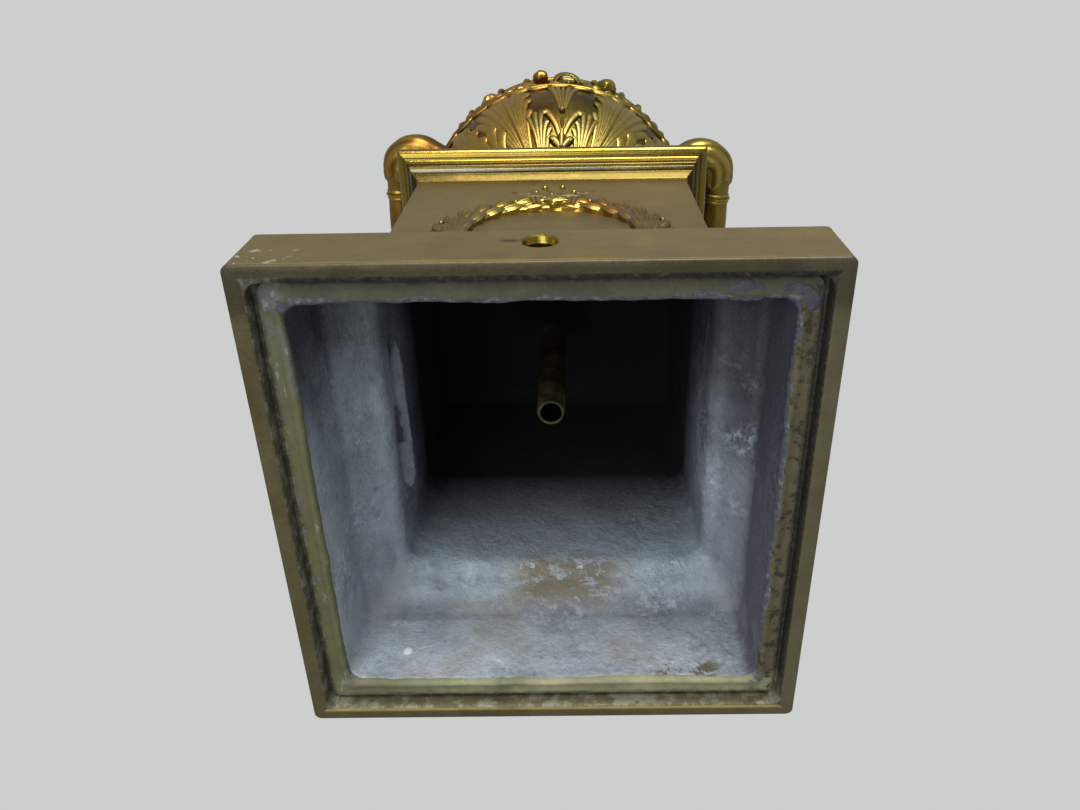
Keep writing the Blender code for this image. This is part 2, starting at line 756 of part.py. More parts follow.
def handle_mesh(name):
    """One tube from bowl to bowl, with a collar towards each end of the grip."""
    bm = bmesh.new()
    straight = GRIP_SHARE
    marks = [(0.0, 0.0)]
    half = COLLAR_HALF_WIDTH
    for offset, rise in ((-half - COLLAR_SLOPE, 0.0), (-half, COLLAR_RISE),
                         (half, COLLAR_RISE), (half + COLLAR_SLOPE, 0.0)):
        marks.append(((COLLAR_OFFSET + offset) / GRIP_HALF_LENGTH * straight, rise))
    for i in range(BEND_STEPS + 1):
        marks.append((straight + (1 - straight) * (i + 0.2) / (BEND_STEPS + 0.2), 0.0))
    marks = [(-t, rise) for t, rise in reversed(marks[1:])] + marks
    rings = []
    for t, rise in marks:
        place = on_handle(t, 0, 0.0)
        radius = handle_path(t)[1]
        turns = [2 * math.pi * i / TUBE_SIDES for i in range(TUBE_SIDES)]
        rings.append([place(0.0, turn * radius, rise) for turn in turns])
    add_shell(bm, rings)
    return mesh_from(bm, name)


def handle_trim_mesh(name):
    """Leaves that wrap the branches from the collars to the bowl."""
    bm = bmesh.new()
    for side in (-1, 1):
        for roll in (-70, 30):
            place = on_handle(side * GRIP_SHARE * 1.02, side, math.radians(roll))
            add_leaf(bm, place, 0.44, BRANCH_THICKNESS * 0.40, 2,
                     HANDLE_LEAF_RISE, HANDLE_LEAF_EDGE, HANDLE_LEAF_SINK)
    return mesh_from(bm, name)


def build_handle(name, side, parts, cutters, material):
    mesh = handle_mesh(name)
    trim = handle_trim_mesh(name + "_trim")
    if side < 0:
        for half in (mesh, trim):
            half.transform(Matrix.Rotation(math.radians(180), 4, "Z"))
    body = add_object(name, mesh, parts, material)
    boolean(body, add_cutter(name + "_trim", trim, cutters), "UNION", own_overlaps=True)
    return body


def seat_profile():
    """Outside of the plain bowl and frieze plus the clearance, which the handles stop at."""
    core = body_core()[0]
    outer = offset_profile(mouldings(core), -GAP)
    return [(0.0, outer[-1][1])] + list(reversed(outer)) + [(0.0, outer[0][1])]


def lift_urn(parts, cutters):
    """Everything of the urn is built from its own foot, so it goes up onto the pedestal."""
    names = ("urn_body", "handle_left", "handle_right", "foot", "bowl_leaves", "garland", "bows",
             "inside", "socket", "handle_seat", "handle_left_trim", "handle_right_trim")
    for item in list(parts.objects) + list(cutters.objects):
        if item.name in names:
            item.location.z = URN_BASE


def smooth_meshes(items):
    for item in items:
        item.data.shade_smooth()
        item.data.set_sharp_from_angle(angle=math.radians(35))


def main():
    clear_scene()
    parts = add_collection(PARTS)
    cutters = add_collection(CUTTERS)
    gilt = add_material("tarnished_gilt", (0.33, 0.22, 0.07), 0.42, 0.9)
    bright = add_material("bowl_gilt", (0.50, 0.32, 0.07), 0.33, 0.95)
    brown = add_material("left_handle_gilt", (0.36, 0.20, 0.06), 0.38, 0.95)
    olive = add_material("right_handle_gilt", (0.42, 0.29, 0.08), 0.38, 0.95)
    brass = add_material("pipe_brass", (0.30, 0.26, 0.12), 0.45, 0.9)
    pedestal = build_pedestal(parts, cutters, gilt)
    build_pipe(parts, brass)
    body = build_body(parts, cutters, bright)
    seat = add_cutter("handle_seat", turned_mesh("handle_seat", seat_profile(), TURNED_STEPS), cutters)
    handles = [
        build_handle("handle_left", -1, parts, cutters, brown),
        build_handle("handle_right", 1, parts, cutters, olive),
    ]
    for handle in handles:
        boolean(handle, seat, "DIFFERENCE")
    lift_urn(parts, cutters)
    smooth_meshes([pedestal, body] + handles)


main()
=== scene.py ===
import math

import bmesh
import bpy
from mathutils import Matrix, Vector, noise


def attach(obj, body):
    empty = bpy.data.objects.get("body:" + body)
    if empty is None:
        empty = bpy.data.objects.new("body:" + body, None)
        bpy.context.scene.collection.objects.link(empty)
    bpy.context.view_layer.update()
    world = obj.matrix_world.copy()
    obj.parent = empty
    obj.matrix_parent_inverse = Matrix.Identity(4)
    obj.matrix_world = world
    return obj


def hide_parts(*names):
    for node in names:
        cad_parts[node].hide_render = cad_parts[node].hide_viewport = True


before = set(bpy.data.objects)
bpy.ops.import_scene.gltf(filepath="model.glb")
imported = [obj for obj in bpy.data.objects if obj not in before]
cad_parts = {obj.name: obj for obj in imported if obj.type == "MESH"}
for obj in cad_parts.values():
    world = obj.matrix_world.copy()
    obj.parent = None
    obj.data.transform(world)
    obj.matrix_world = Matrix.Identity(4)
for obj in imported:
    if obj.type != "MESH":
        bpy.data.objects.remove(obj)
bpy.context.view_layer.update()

noise.seed_set(7)

# Camera of the photograph, in the urn's own frame
LENS = 29.463
SENSOR = 36.0
SHIFT_X = -0.0259
SHIFT_Y = -0.00124
CAMERA_PLACE = (0.00892, -0.15393, -0.21019)
CAMERA_RIGHT = (0.999879, 0.015456, 0.001549)
CAMERA_UP = (0.012835, -0.878199, 0.478124)
CAMERA_BACK = (0.008750, -0.478046, -0.878291)

# Sizes repeated from the part's source, in metres
BASE_HALF = 0.080
BASE_HEIGHT = 0.026
COURSE_HALF = 0.073
COVE_HEIGHT = 0.011
DIE_FILLET = 0.002
DIE_FOOT = 0.056
DIE_HALF = 0.0572
PEDESTAL_HEIGHT = 0.183
CORNICE_HALF = 0.0679
LEDGE_HALF = 0.075
RIM_DEPTH = 0.0045
GROOVE_WIDTH = 0.0012
MOUTH_HALF = 0.068
NECK_HALF = 0.054
MOUTH_DEPTH = 0.0345
NECK_START = 0.0535
ROOF = 0.176
CORD_HOLE = 0.0042
CORD_HOLE_HEIGHT = 0.016
COUNTERSINK = 0.0054
PIPE_RADIUS = 0.005175
PIPE_BORE = 0.0036
PIPE_BOTTOM = 0.066
WREATH_HEIGHT = 0.0915
WREATH_SHIFT = 0.0010
URN_BASE = 0.1833
FOOT_RADIUS = 0.046
STEM_RADIUS = 0.015
KNOP_RADIUS = 0.021
BOWL_START = 0.050
BOWL_RADIUS = 0.0745
BOWL_RIM = 0.117
BOWL_FIRST_ANGLE = 12
BOWL_SWEEP = 78
FRIEZE_RADIUS = 0.0715
FRIEZE_HEIGHT = 0.040
NECK_RADIUS = 0.046
NECK_SWEEP = (0.0250, 0.0200)
NECK_HEIGHT = 0.030
MOUTH_RADIUS = 0.060
URN_WALL = 0.003
HANDLE_HEIGHT = 0.109
HANDLE_REACH = 0.0975
GRIP_RADIUS = 0.00675
BRANCH_RADIUS = 0.0085
GRIP_HALF_LENGTH = 0.020
BRANCH_SPREAD = 0.0405
SHOULDER_REACH = 0.0892
SHOULDER_BEND = 0.010
SHOULDER_TURN = 120
BRANCH_TAIL = 0.0165
SWELL_LENGTH = 0.012
GRIP_SHARE = 0.34
COLLAR_OFFSET = 0.0165

UP = Vector((0, 0, 1))

# The urn's ornament is turned a little on its pedestal
TWIST = 3.4
HANDLE_TURN = 1.6


def arc(centre, radii, start, end, steps):
    """Points along part of an ellipse, its angles in degrees."""
    points = []
    for i in range(steps + 1):
        angle = math.radians(start + (end - start) * i / steps)
        points.append((centre[0] + radii[0] * math.cos(angle), centre[1] + radii[1] * math.sin(angle)))
    return points


def steps_of(count):
    """Even shares from 0 to 1."""
    return [i / count for i in range(count + 1)]


def smooth_step(value):
    value = max(0.0, min(1.0, value))
    return value * value * (3 - 2 * value)


def wander(spot, scale, seed=0.0):
    """A smooth drift between about -1 and 1 that depends on the place alone."""
    return noise.noise(Vector(spot) * scale + Vector((seed, seed * 1.7, -seed)))


def turns(count):
    """Angles all the way round, in even steps."""
    return [2 * math.pi * i / count for i in range(count)]


def outward(bearing):
    """Level direction away from the urn's axis; bearing in degrees from the front."""
    angle = math.radians(bearing)
    return Vector((math.sin(angle), -math.cos(angle), 0))


def closed_mesh(name, points, faces):
    """A mesh whose faces all point out."""
    mesh = bpy.data.meshes.new(name)
    mesh.from_pydata([tuple(p) for p in points], [], faces)
    bm = bmesh.new()
    bm.from_mesh(mesh)
    bmesh.ops.recalc_face_normals(bm, faces=bm.faces)
    bm.to_mesh(mesh)
    bm.free()
    return mesh


def add_object(name, data):
    item = bpy.data.objects.new(name, data)
    bpy.context.scene.collection.objects.link(item)
    return item


class Shape:
    """Points and faces of one piece, and how far each point stands out of its ground; the gilt materials
    turn that level into painted shade in hollows and painted highlight on raised parts.
    """

    def __init__(self):
        self.points = []
        self.relief = []
        self.faces = []
        self.slots = []

    def ring(self, points, relief):
        first = len(self.points)
        self.points.extend(points)
        self.relief.extend(relief)
        return first

    def face(self, corners, slot):
        self.faces.append(tuple(corners))
        self.slots.append(slot)

    def loft(self, rings, relief, slot=0, closed=True, caps=True, hoop=False):
        count = len(rings[0])
        firsts = [self.ring(ring, level) for ring, level in zip(rings, relief)]
        pairs = list(zip(firsts, firsts[1:]))
        if hoop:
            pairs.append((firsts[-1], firsts[0]))
        for index, (low, high) in enumerate(pairs):
            here = slot[index] if isinstance(slot, list) else slot
            for j in range(count if closed else count - 1):
                k = (j + 1) % count
                self.face((low + j, low + k, high + k, high + j), here)
        if caps and not hoop:
            first_slot = slot[0] if isinstance(slot, list) else slot
            last_slot = slot[-1] if isinstance(slot, list) else slot
            self.face(reversed(range(firsts[0], firsts[0] + count)), first_slot)
            self.face(range(firsts[-1], firsts[-1] + count), last_slot)

    def ridge(self, path, width, height, style="round", sides=6, sink=0.0008, slot=0, base=0.0):
        """A long raised form along (spot, normal) pairs; width and height are functions of 0 to 1."""
        rings, levels = [], []
        last = len(path) - 1
        for i, (spot, normal) in enumerate(path):
            s = i / last
            run = (path[min(i + 1, last)][0] - path[max(i - 1, 0)][0]).normalized()
            across = normal.cross(run).normalized()
            half, top = width(s), height(s)
            ring, level = [spot - across * half - normal * sink], [0.0]
            for j in range(sides + 1):
                c = -1.0 + 2.0 * j / sides
                if style == "leaf":
                    up = (1 - abs(c) ** 3) * (0.62 + 0.38 * math.sin(math.pi * min(1.0, abs(c) * 1.35)))
                elif style == "flat":
                    up = 1 - abs(c) ** 8
                else:
                    c = -math.cos(math.pi * j / sides)
                    up = math.sqrt(max(0.0, 1 - c * c))
                ring.append(spot + across * (half * c) + normal * (base + top * up))
                level.append(min(1.0, 0.12 + 0.88 * up))
            ring.append(spot + across * half - normal * sink)
            level.append(0.0)
            rings.append(ring)
            levels.append(level)
        self.loft(rings, levels, slot)

    def ball(self, centre, radii, normal, slot=0, petals=0, steps=14, rows=8, seed=0.0):
        """A lump or flower head that faces along its normal."""
        normal = normal.normalized()
        side = normal.cross(Vector((0, 0, 1)))
        side = side.normalized() if side.length > 0.1 else Vector((1, 0, 0))
        up = side.cross(normal)
        rings, levels = [], []
        for i in range(rows + 1):
            tilt = math.pi * (0.04 + 0.92 * i / rows)
            ring, level = [], []
            for turn in turns(steps):
                flute = 1.0 + (0.13 * math.cos(petals * turn) * math.sin(tilt) if petals else 0.0)
                spread = math.sin(tilt) * radii[0] * flute
                spot = centre + (side * math.cos(turn) + up * math.sin(turn)) * spread
                spot += normal * math.cos(tilt) * radii[1]
                spot += noise.noise_vector(spot * 320 + Vector((seed,) * 3)) * radii[0] * 0.10
                ring.append(spot)
                level.append(0.35 + 0.65 * max(0.0, math.cos(tilt)) * (0.75 + 0.25 * flute))
            rings.append(ring)
            levels.append(level)
        self.loft(rings, levels, slot)

    def build(self, name, materials, finish, node=None, smooth=40):
        mesh = closed_mesh(name, self.points, self.faces)
        for material in materials:
            mesh.materials.append(material)
        mesh.polygons.foreach_set("material_index", self.slots)
        stand = mesh.attributes.new("relief", "FLOAT", "POINT")
        stand.data.foreach_set("value", self.relief)
        mesh.shade_smooth()
        mesh.set_sharp_from_angle(angle=math.radians(smooth))
        item = add_object(name, mesh)
        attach(item, "root")
        if node:
            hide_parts(node)
        return item


class Wire:
    """The output of a node, which takes part in sums with numbers and with other outputs."""

    def __init__(self, paint, socket):
        self.paint = paint
        self.socket = socket

    def __add__(self, other):
        return self.paint.math("ADD", self, other)

    def __radd__(self, other):
        return self.paint.math("ADD", other, self)

    def __sub__(self, other):
        return self.paint.math("SUBTRACT", self, other)

    def __mul__(self, other):
        return self.paint.math("MULTIPLY", self, other)

    def __gt__(self, other):
        return self.paint.math("GREATER_THAN", self, other)

    def __lt__(self, other):
        return self.paint.math("LESS_THAN", self, other)

    def __abs__(self):
        return self.paint.math("ABSOLUTE", self)


class Paint:
    """A procedural material put together from noises, ramps and mixes."""

    def __init__(self, name):
        self.material = bpy.data.materials.new(name)
        self.material.use_nodes = True
        self.nodes = self.material.node_tree.nodes
        self.links = self.material.node_tree.links
        self.shader = self.nodes["Principled BSDF"]
        self.place = self.node("TexCoord").outputs["Object"]
        self.colour = None

    def put(self, socket, value):
        """Link the socket to another node's output, or set a plain value on it."""
        if isinstance(value, Wire):
            value = value.socket
        if isinstance(value, bpy.types.NodeSocket):
            self.links.new(value, socket)
        elif isinstance(value, tuple) and len(socket.default_value) == 4:
            socket.default_value = (*value, 1.0)
        else:
            socket.default_value = value

    def node(self, kind, **values):
        """A new node with its named inputs put in; an underscore stands for a space."""
        node = self.nodes.new("ShaderNode" + kind)
        for name, value in values.items():
            self.put(node.inputs[name.replace("_", " ")], value)
        return node

    def noise(self, scale, detail=4.0, rough=0.55, stretch=None, twist=0.0):
        place = self.place
        if stretch:
            place = self.node("Mapping", Vector=place, Scale=stretch).outputs["Vector"]
        node = self.node("TexNoise", Vector=place, Scale=scale, Detail=detail, Roughness=rough,
                         Distortion=twist)
        return Wire(self, node.outputs["Fac"])

    def relief(self):
        node = self.node("Attribute")
        node.attribute_name = "relief"
        return Wire(self, node.outputs["Fac"])

    def axis(self, name):
        return Wire(self, self.node("SeparateXYZ", Vector=self.place).outputs[name])

    def math(self, kind, first, second=0.0):
        node = self.node("Math")
        node.operation = kind
        self.put(node.inputs[0], first)
        self.put(node.inputs[1], second)
        return Wire(self, node.outputs[0])

    def larger(self, first, second):
        return self.math("MAXIMUM", first, second)

    def fade(self, value, low, high, start=0.0, end=1.0):
        node = self.node("MapRange", Value=value, From_Min=low, From_Max=high, To_Min=start, To_Max=end)
        return Wire(self, node.outputs["Result"])

    def mix(self, share, first, second, kind="MIX"):
        node = self.node("Mix")
        node.data_type = "RGBA"
        node.blend_type = kind
        # The sockets of a colour mix are the seventh and eighth, and its result the third
        for number, value in ((0, share), (6, first), (7, second)):
            self.put(node.inputs[number], value)
        return Wire(self, node.outputs[2])

    def coat(self, share, tone, kind="MIX"):
        """Lay a tone over what the material has so far, by a share that may vary from place to place."""
        self.colour = self.mix(share, self.colour, tone, kind)

    def ramp(self, value, stops):
        node = self.node("ValToRGB", Fac=value)
        band = node.color_ramp
        while len(band.elements) < len(stops):
            band.elements.new(0.5)
        for element, (at, colour) in zip(band.elements, stops):
            element.position = at
            element.color = (*colour, 1.0)
        return Wire(self, node.outputs["Color"])

    def bump(self, height, distance, strength=1.0, after=None):
        node = self.node("Bump", Height=height, Distance=distance, Strength=strength)
        if after is not None:
            self.put(node.inputs["Normal"], after)
        return Wire(self, node.outputs["Normal"])

    def finish(self, rough, metallic, normal=None):
        for name, value in (("Base Color", self.colour), ("Roughness", rough), ("Metallic", metallic),
                            ("Normal", normal)):
            if value is not None:
                self.put(self.shader.inputs[name], value)
        return self.material


def cornice_gilt(name, dark, middle, light, rough, stain, stain_share):
    """Bright gilding whose fillet is rubbed through to pale metal, mostly left of the middle, with painted
    shade in its grooves.
    """
    paint = Paint(name)
    x, z, top = paint.axis("X"), paint.axis("Z"), PEDESTAL_HEIGHT
    cloud = paint.noise(30.0, 5.0, 0.6, stretch=(0.5, 1.0, 2.0))
    grain = paint.noise(420.0, 3.0, 0.6)
    # Painted shade: the relief level dips in the cornice's grooves, so the ramp paints them darker
    level = paint.relief() + paint.fade(cloud, 0.3, 0.7, -0.12, 0.22)
    paint.colour = paint.ramp(level, [(0.0, dark), (0.40, middle), (0.78, light)])
    patch = paint.fade(paint.noise(50.0, 6.0, 0.65, twist=0.4), 0.56, 0.72, 0.0, stain_share)
    paint.coat(patch, stain)
    fillet = paint.fade(z, top - 0.0110, top - 0.0107) * paint.fade(z, top - 0.0094, top - 0.0097)
    share = paint.fade(paint.noise(90.0, 5.0, 0.7, stretch=(0.3, 1.0, 1.0)), 0.40, 0.58, 0.15, 1.0)
    where = paint.larger(paint.fade(x, -0.012, -0.020), 0.42)
    # Wear: the fillet is rubbed through to pale metal here
    worn_and_unshaded = fillet * share * where
    paint.coat(worn_and_unshaded, (0.29, 0.29, 0.23))
    edge = (paint.fade(z, top - 0.0022, top - 0.0010)
            * paint.fade(paint.noise(110.0, 5.0, 0.7, stretch=(0.4, 1.0, 1.0)), 0.50, 0.58, 0.0, 0.7))
    edge = edge * paint.fade(x, 0.012, -0.008, 0.25, 1.0)
    paint.coat(edge, (0.10, 0.105, 0.075))
    shine = paint.fade(grain, 0.25, 0.75, rough[0], rough[1]) + worn_and_unshaded * 0.25
    normal = paint.bump(grain, 0.00010, 0.4, paint.bump(paint.noise(70.0, 4.0, 0.6), 0.0004, 0.25))
    return paint.finish(shine, 0.95, normal)


def gilt(name, dark, middle, light, rough=(0.24, 0.42), stain=(0.10, 0.06, 0.03), stain_share=0.5,
         tint=None, ground=0.0):
    """Gilding with painted shade in its hollows and painted highlight where it stands out, and stained in
    patches.
    """
    paint = Paint(name)
    cloud = paint.noise(38.0, 5.0, 0.6)
    grain = paint.noise(420.0, 3.0, 0.6)
    # Painted shade and painted highlight: the ramp over relief darkens hollows and brightens raised parts
    level = paint.relief() + paint.fade(cloud, 0.3, 0.7, ground - 0.22, ground + 0.22)
    paint.colour = paint.ramp(level, [(0.0, dark), (0.42, middle), (0.95, light)])
    if tint:
        side = paint.axis("X") + paint.fade(cloud, 0.3, 0.7, -0.008, 0.008)
        paint.coat(paint.fade(side, 0.012, -0.016), tint, "MULTIPLY")
    patch = paint.fade(paint.noise(70.0, 6.0, 0.65, twist=0.4), 0.56, 0.72, 0.0, stain_share)
    paint.coat(patch, stain)
    specks = paint.fade(paint.noise(900.0, 2.0, 0.5), 0.66, 0.72, 0.0, 0.55)
    paint.coat(specks, stain)
    shine = paint.fade(grain, 0.25, 0.75, rough[0], rough[1]) + patch * 0.25
    normal = paint.bump(grain, 0.00012, 0.5, paint.bump(paint.noise(150.0, 4.0, 0.6), 0.0004, 0.35))
    return paint.finish(shine, 0.95, normal)


def satin_gilt():
    """Tarnished satin gilding of the block and die, faintly brushed along its length."""
    paint = Paint("satin_gilt")
    cloud = paint.noise(16.0, 5.0, 0.55)
    brushed = paint.noise(60.0, 4.0, 0.6, stretch=(1.0, 6.0, 9.0))
    paint.colour = paint.ramp(cloud, [(0.3, (0.180, 0.130, 0.052)), (0.55, (0.212, 0.158, 0.068)),
                                      (0.75, (0.235, 0.170, 0.066))])
    warm = paint.fade(paint.noise(24.0, 4.0, 0.6, twist=0.6), 0.52, 0.74, 0.0, 0.55)
    paint.coat(warm, (0.250, 0.150, 0.040))
    paint.coat(paint.fade(brushed, 0.35, 0.7, 0.0, 0.22), (0.130, 0.095, 0.045))
    high = paint.axis("Z")
    near_cornice = paint.fade(high, 0.150, 0.168, 0.0, 0.5)
    paint.coat(near_cornice, (0.200, 0.125, 0.028))
    # Painted highlight: a bright yellow line along the block's lower edge
    lower_edge_highlight = paint.fade(high + paint.fade(cloud, 0.3, 0.7, -0.001, 0.001), 0.0020, 0.0004, 0.0, 0.50)
    paint.coat(lower_edge_highlight, (0.52, 0.35, 0.06))
    specks = paint.fade(paint.noise(700.0, 2.0, 0.5), 0.68, 0.74, 0.0, 0.5)
    paint.coat(specks, (0.08, 0.06, 0.04))
    x = paint.axis("X")
    corner = paint.fade(x, -0.060, -0.072) * paint.fade(high, 0.016, 0.010)
    chips = corner * paint.fade(paint.noise(420.0, 1.0, 0.4), 0.63, 0.66)
    paint.coat(chips, (0.50, 0.46, 0.38))
    scorch = (paint.fade(abs(high - 0.0165), 0.0016, 0.0004)
              * paint.fade(abs(x + 0.0078), 0.0034, 0.0012, 0.0, 0.75))
    paint.coat(scorch, (0.030, 0.018, 0.008))
    shine = paint.fade(paint.noise(90.0, 5.0, 0.6), 0.3, 0.7, 0.42, 0.56)
    normal = paint.bump(paint.noise(520.0, 3.0, 0.6), 0.00008, 0.5)
    return paint.finish(shine, 0.80, normal)


def wreath_gilt():
    """Satin like the die on what faces out, with painted highlight of bright gilding on what faces down
    towards the block and on raised crests, and painted shade low between the leaves.
    """
    paint = Paint("wreath_gilt")
    cloud = paint.noise(60.0, 5.0, 0.6)
    paint.colour = paint.ramp(cloud, [(0.3, (0.135, 0.098, 0.040)), (0.55, (0.195, 0.146, 0.062)),
                                      (0.75, (0.250, 0.180, 0.066))])
    # Painted shade: darker where the relief is low, between the leaves
    low = paint.fade(paint.relief(), 0.30, 0.05, 0.0, 0.55)
    paint.coat(low, (0.13, 0.095, 0.05))
    # Painted highlight: bright gilding on the faces that point down towards the block, strongest near the
    # head of the wreath
    facing = paint.node("NewGeometry").outputs["Normal"]
    down = paint.fade(paint.node("SeparateXYZ", Vector=facing).outputs["Z"], -0.10, -0.75)
    near_head = paint.fade(paint.axis("Z"), WREATH_HEIGHT + 0.014, WREATH_HEIGHT + 0.026)
    # Painted highlight on the crests of the berries, boss and leaves
    berries = paint.fade(paint.relief(), 0.62, 0.85, 0.0, 0.75)
    highlight_mask = paint.larger(down, berries) * paint.fade(near_head, 0.0, 1.0, 0.25, 1.0)
    bow = paint.fade(paint.axis("Z"), WREATH_HEIGHT + 0.0455, WREATH_HEIGHT + 0.0440, 0.12, 1.0)
    highlight_mask = highlight_mask * bow
    red = paint.fade(paint.axis("X"), 0.004, 0.016)
    highlight_gold = paint.mix(red, (0.40, 0.285, 0.045), (0.38, 0.17, 0.025))
    highlight_gold = paint.mix(paint.fade(paint.noise(190.0, 4.0, 0.6), 0.45, 0.62, 0.0, 0.5), highlight_gold,
                     (0.34, 0.23, 0.05))
    paint.coat(highlight_mask, highlight_gold)
    shine = paint.fade(highlight_mask, 0.0, 1.0, 0.46, 0.24)
    normal = paint.bump(paint.noise(420.0, 3.0, 0.6), 0.0001, 0.5)
    return paint.finish(shine, 0.9, normal)


def rim_gilt():
    """Underside of the block: satin band, dark groove, stained ledge and the zinc that creeps over it."""
    paint = Paint("rim_gilt")
    x, y = paint.axis("X"), paint.axis("Y")
    across = paint.larger(abs(x), abs(y))
    front = paint.fade(y, -0.064, -0.068)
    back = paint.fade(y, 0.064, 0.068)
    right = paint.fade(x, 0.064, 0.068)
    left = paint.fade(x, -0.064, -0.068)
    fine = paint.noise(520.0, 4.0, 0.65)
    patchy = paint.noise(60.0, 5.0, 0.6)
    band = paint.ramp(patchy, [(0.3, (0.125, 0.098, 0.042)), (0.5, (0.160, 0.128, 0.060)),
                               (0.72, (0.190, 0.162, 0.080))])
    band = paint.mix(paint.fade(fine, 0.5, 0.7, 0.0, 0.35), band, (0.07, 0.06, 0.035))
    band = paint.mix(right * 0.35, band, (0.22, 0.21, 0.13))
    band = paint.mix(front * 0.50, band, (0.030, 0.032, 0.026))
    along_back = y > abs(x)
    # Painted highlight: a pale yellow line along the inner edge of the band at the back
    back_edge_highlight = along_back * paint.fade(across, LEDGE_HALF + 0.0019, LEDGE_HALF + 0.0010)
    band = paint.mix(back_edge_highlight * paint.fade(patchy, 0.3, 0.5, 0.5, 1.0), band, (0.58, 0.44, 0.13))
    # Ledge: pale at the back by painted light, green at the left, grey at the front, brown at the right
    ledge = paint.ramp(paint.noise(90.0, 5.0, 0.65), [
        (0.3, (0.085, 0.080, 0.046)), (0.5, (0.125, 0.118, 0.068)), (0.75, (0.175, 0.165, 0.098))])
    ledge = paint.mix(left * 0.60, ledge, (0.185, 0.190, 0.080))
    ledge = paint.mix(right * 0.45, ledge, (0.150, 0.120, 0.060))
    ledge = paint.mix(front * 0.55, ledge, (0.085, 0.082, 0.060))
    pale = paint.ramp(paint.noise(70.0, 5.0, 0.6), [
        (0.3, (0.20, 0.20, 0.12)), (0.48, (0.33, 0.33, 0.19)), (0.75, (0.46, 0.45, 0.28))])
    # Painted light: the back of the ledge, which faces the light, is mixed towards the pale tone
    ledge = paint.mix(back * paint.fade(x, -0.055, -0.030, 0.3, 1.0), ledge, pale)
    grey = left * paint.fade(y, -0.030, -0.055)
    grey = grey * paint.fade(paint.noise(130.0, 5.0, 0.6), 0.42, 0.56)
    ledge = paint.mix(grey * 0.75, ledge, (0.20, 0.21, 0.20))
    white = paint.fade(paint.noise(330.0, 5.0, 0.7, stretch=(1.0, 0.35, 1.0)), 0.60, 0.66, 0.0, 0.8)
    white = white * (left * 0.5 + 0.06)
    ledge = paint.mix(white, ledge, (0.46, 0.48, 0.46))
    speckle = paint.fade(paint.noise(260.0, 5.0, 0.75), 0.52, 0.58, 0.0, 0.9) * (right * 0.75 + 0.15)
    ledge = paint.mix(speckle, ledge, (0.025, 0.026, 0.022))
    on_ledge = paint.fade(across, LEDGE_HALF + 0.0001, LEDGE_HALF - 0.0002)
    paint.colour = paint.mix(on_ledge, band, ledge)
    # Groove and the little wall of the band
    ragged = paint.fade(paint.noise(150.0, 5.0, 0.65), 0.3, 0.7, -0.0005, 0.0005)
    groove = paint.fade(across + ragged, LEDGE_HALF - 0.0026, LEDGE_HALF - 0.0016)
    along_front = y * -1.0 > abs(x)
    inner = along_front * 0.0011
    groove = groove * paint.fade(across - inner, LEDGE_HALF + 0.0006, LEDGE_HALF + 0.0002)
    # The groove is painted near black, browner at the left and back, with pale crust in places
    groove_colour = paint.ramp(fine, [(0.35, (0.020, 0.019, 0.016)), (0.55, (0.050, 0.047, 0.036)),
                             (0.75, (0.13, 0.13, 0.11))])
    crust = paint.fade(paint.noise(210.0, 5.0, 0.7), 0.47, 0.60, 0.0, 0.85)
    crust = crust * paint.larger(back * 0.55, left * 0.70)
    groove_colour = paint.mix(paint.larger(left, back * 0.7) * 0.80, groove_colour, (0.120, 0.108, 0.058))
    groove_colour = paint.mix(crust, groove_colour, (0.33, 0.35, 0.30))
    paint.coat(groove * 0.92, groove_colour)
    # Zinc that ran over the ledge, widest along the front and the right
    creep = paint.larger(front, right * 0.8)
    reach = MOUTH_HALF - 0.0008 + creep * paint.fade(patchy, 0.35, 0.65, 0.0004, 0.0030)
    reach = reach + paint.fade(paint.noise(170.0, 4.0, 0.6), 0.3, 0.7, -0.0007, 0.0007)
    reach = reach - along_back * 0.0016
    lip = across < reach
    zinc = paint.ramp(fine, [(0.35, (0.075, 0.080, 0.086)), (0.55, (0.130, 0.140, 0.152)),
                             (0.72, (0.27, 0.30, 0.32))])
    paint.coat(lip, zinc)
    shine = paint.fade(patchy, 0.3, 0.7, 0.44, 0.58) + on_ledge * 0.22
    normal = paint.bump(fine, 0.00022, 0.6, paint.bump(paint.noise(120.0, 5.0, 0.7), 0.0005, 0.3))
    metal = paint.fade(paint.larger(lip, on_ledge), 0.0, 1.0, 0.70, 0.25)
    return paint.finish(shine, metal, normal)


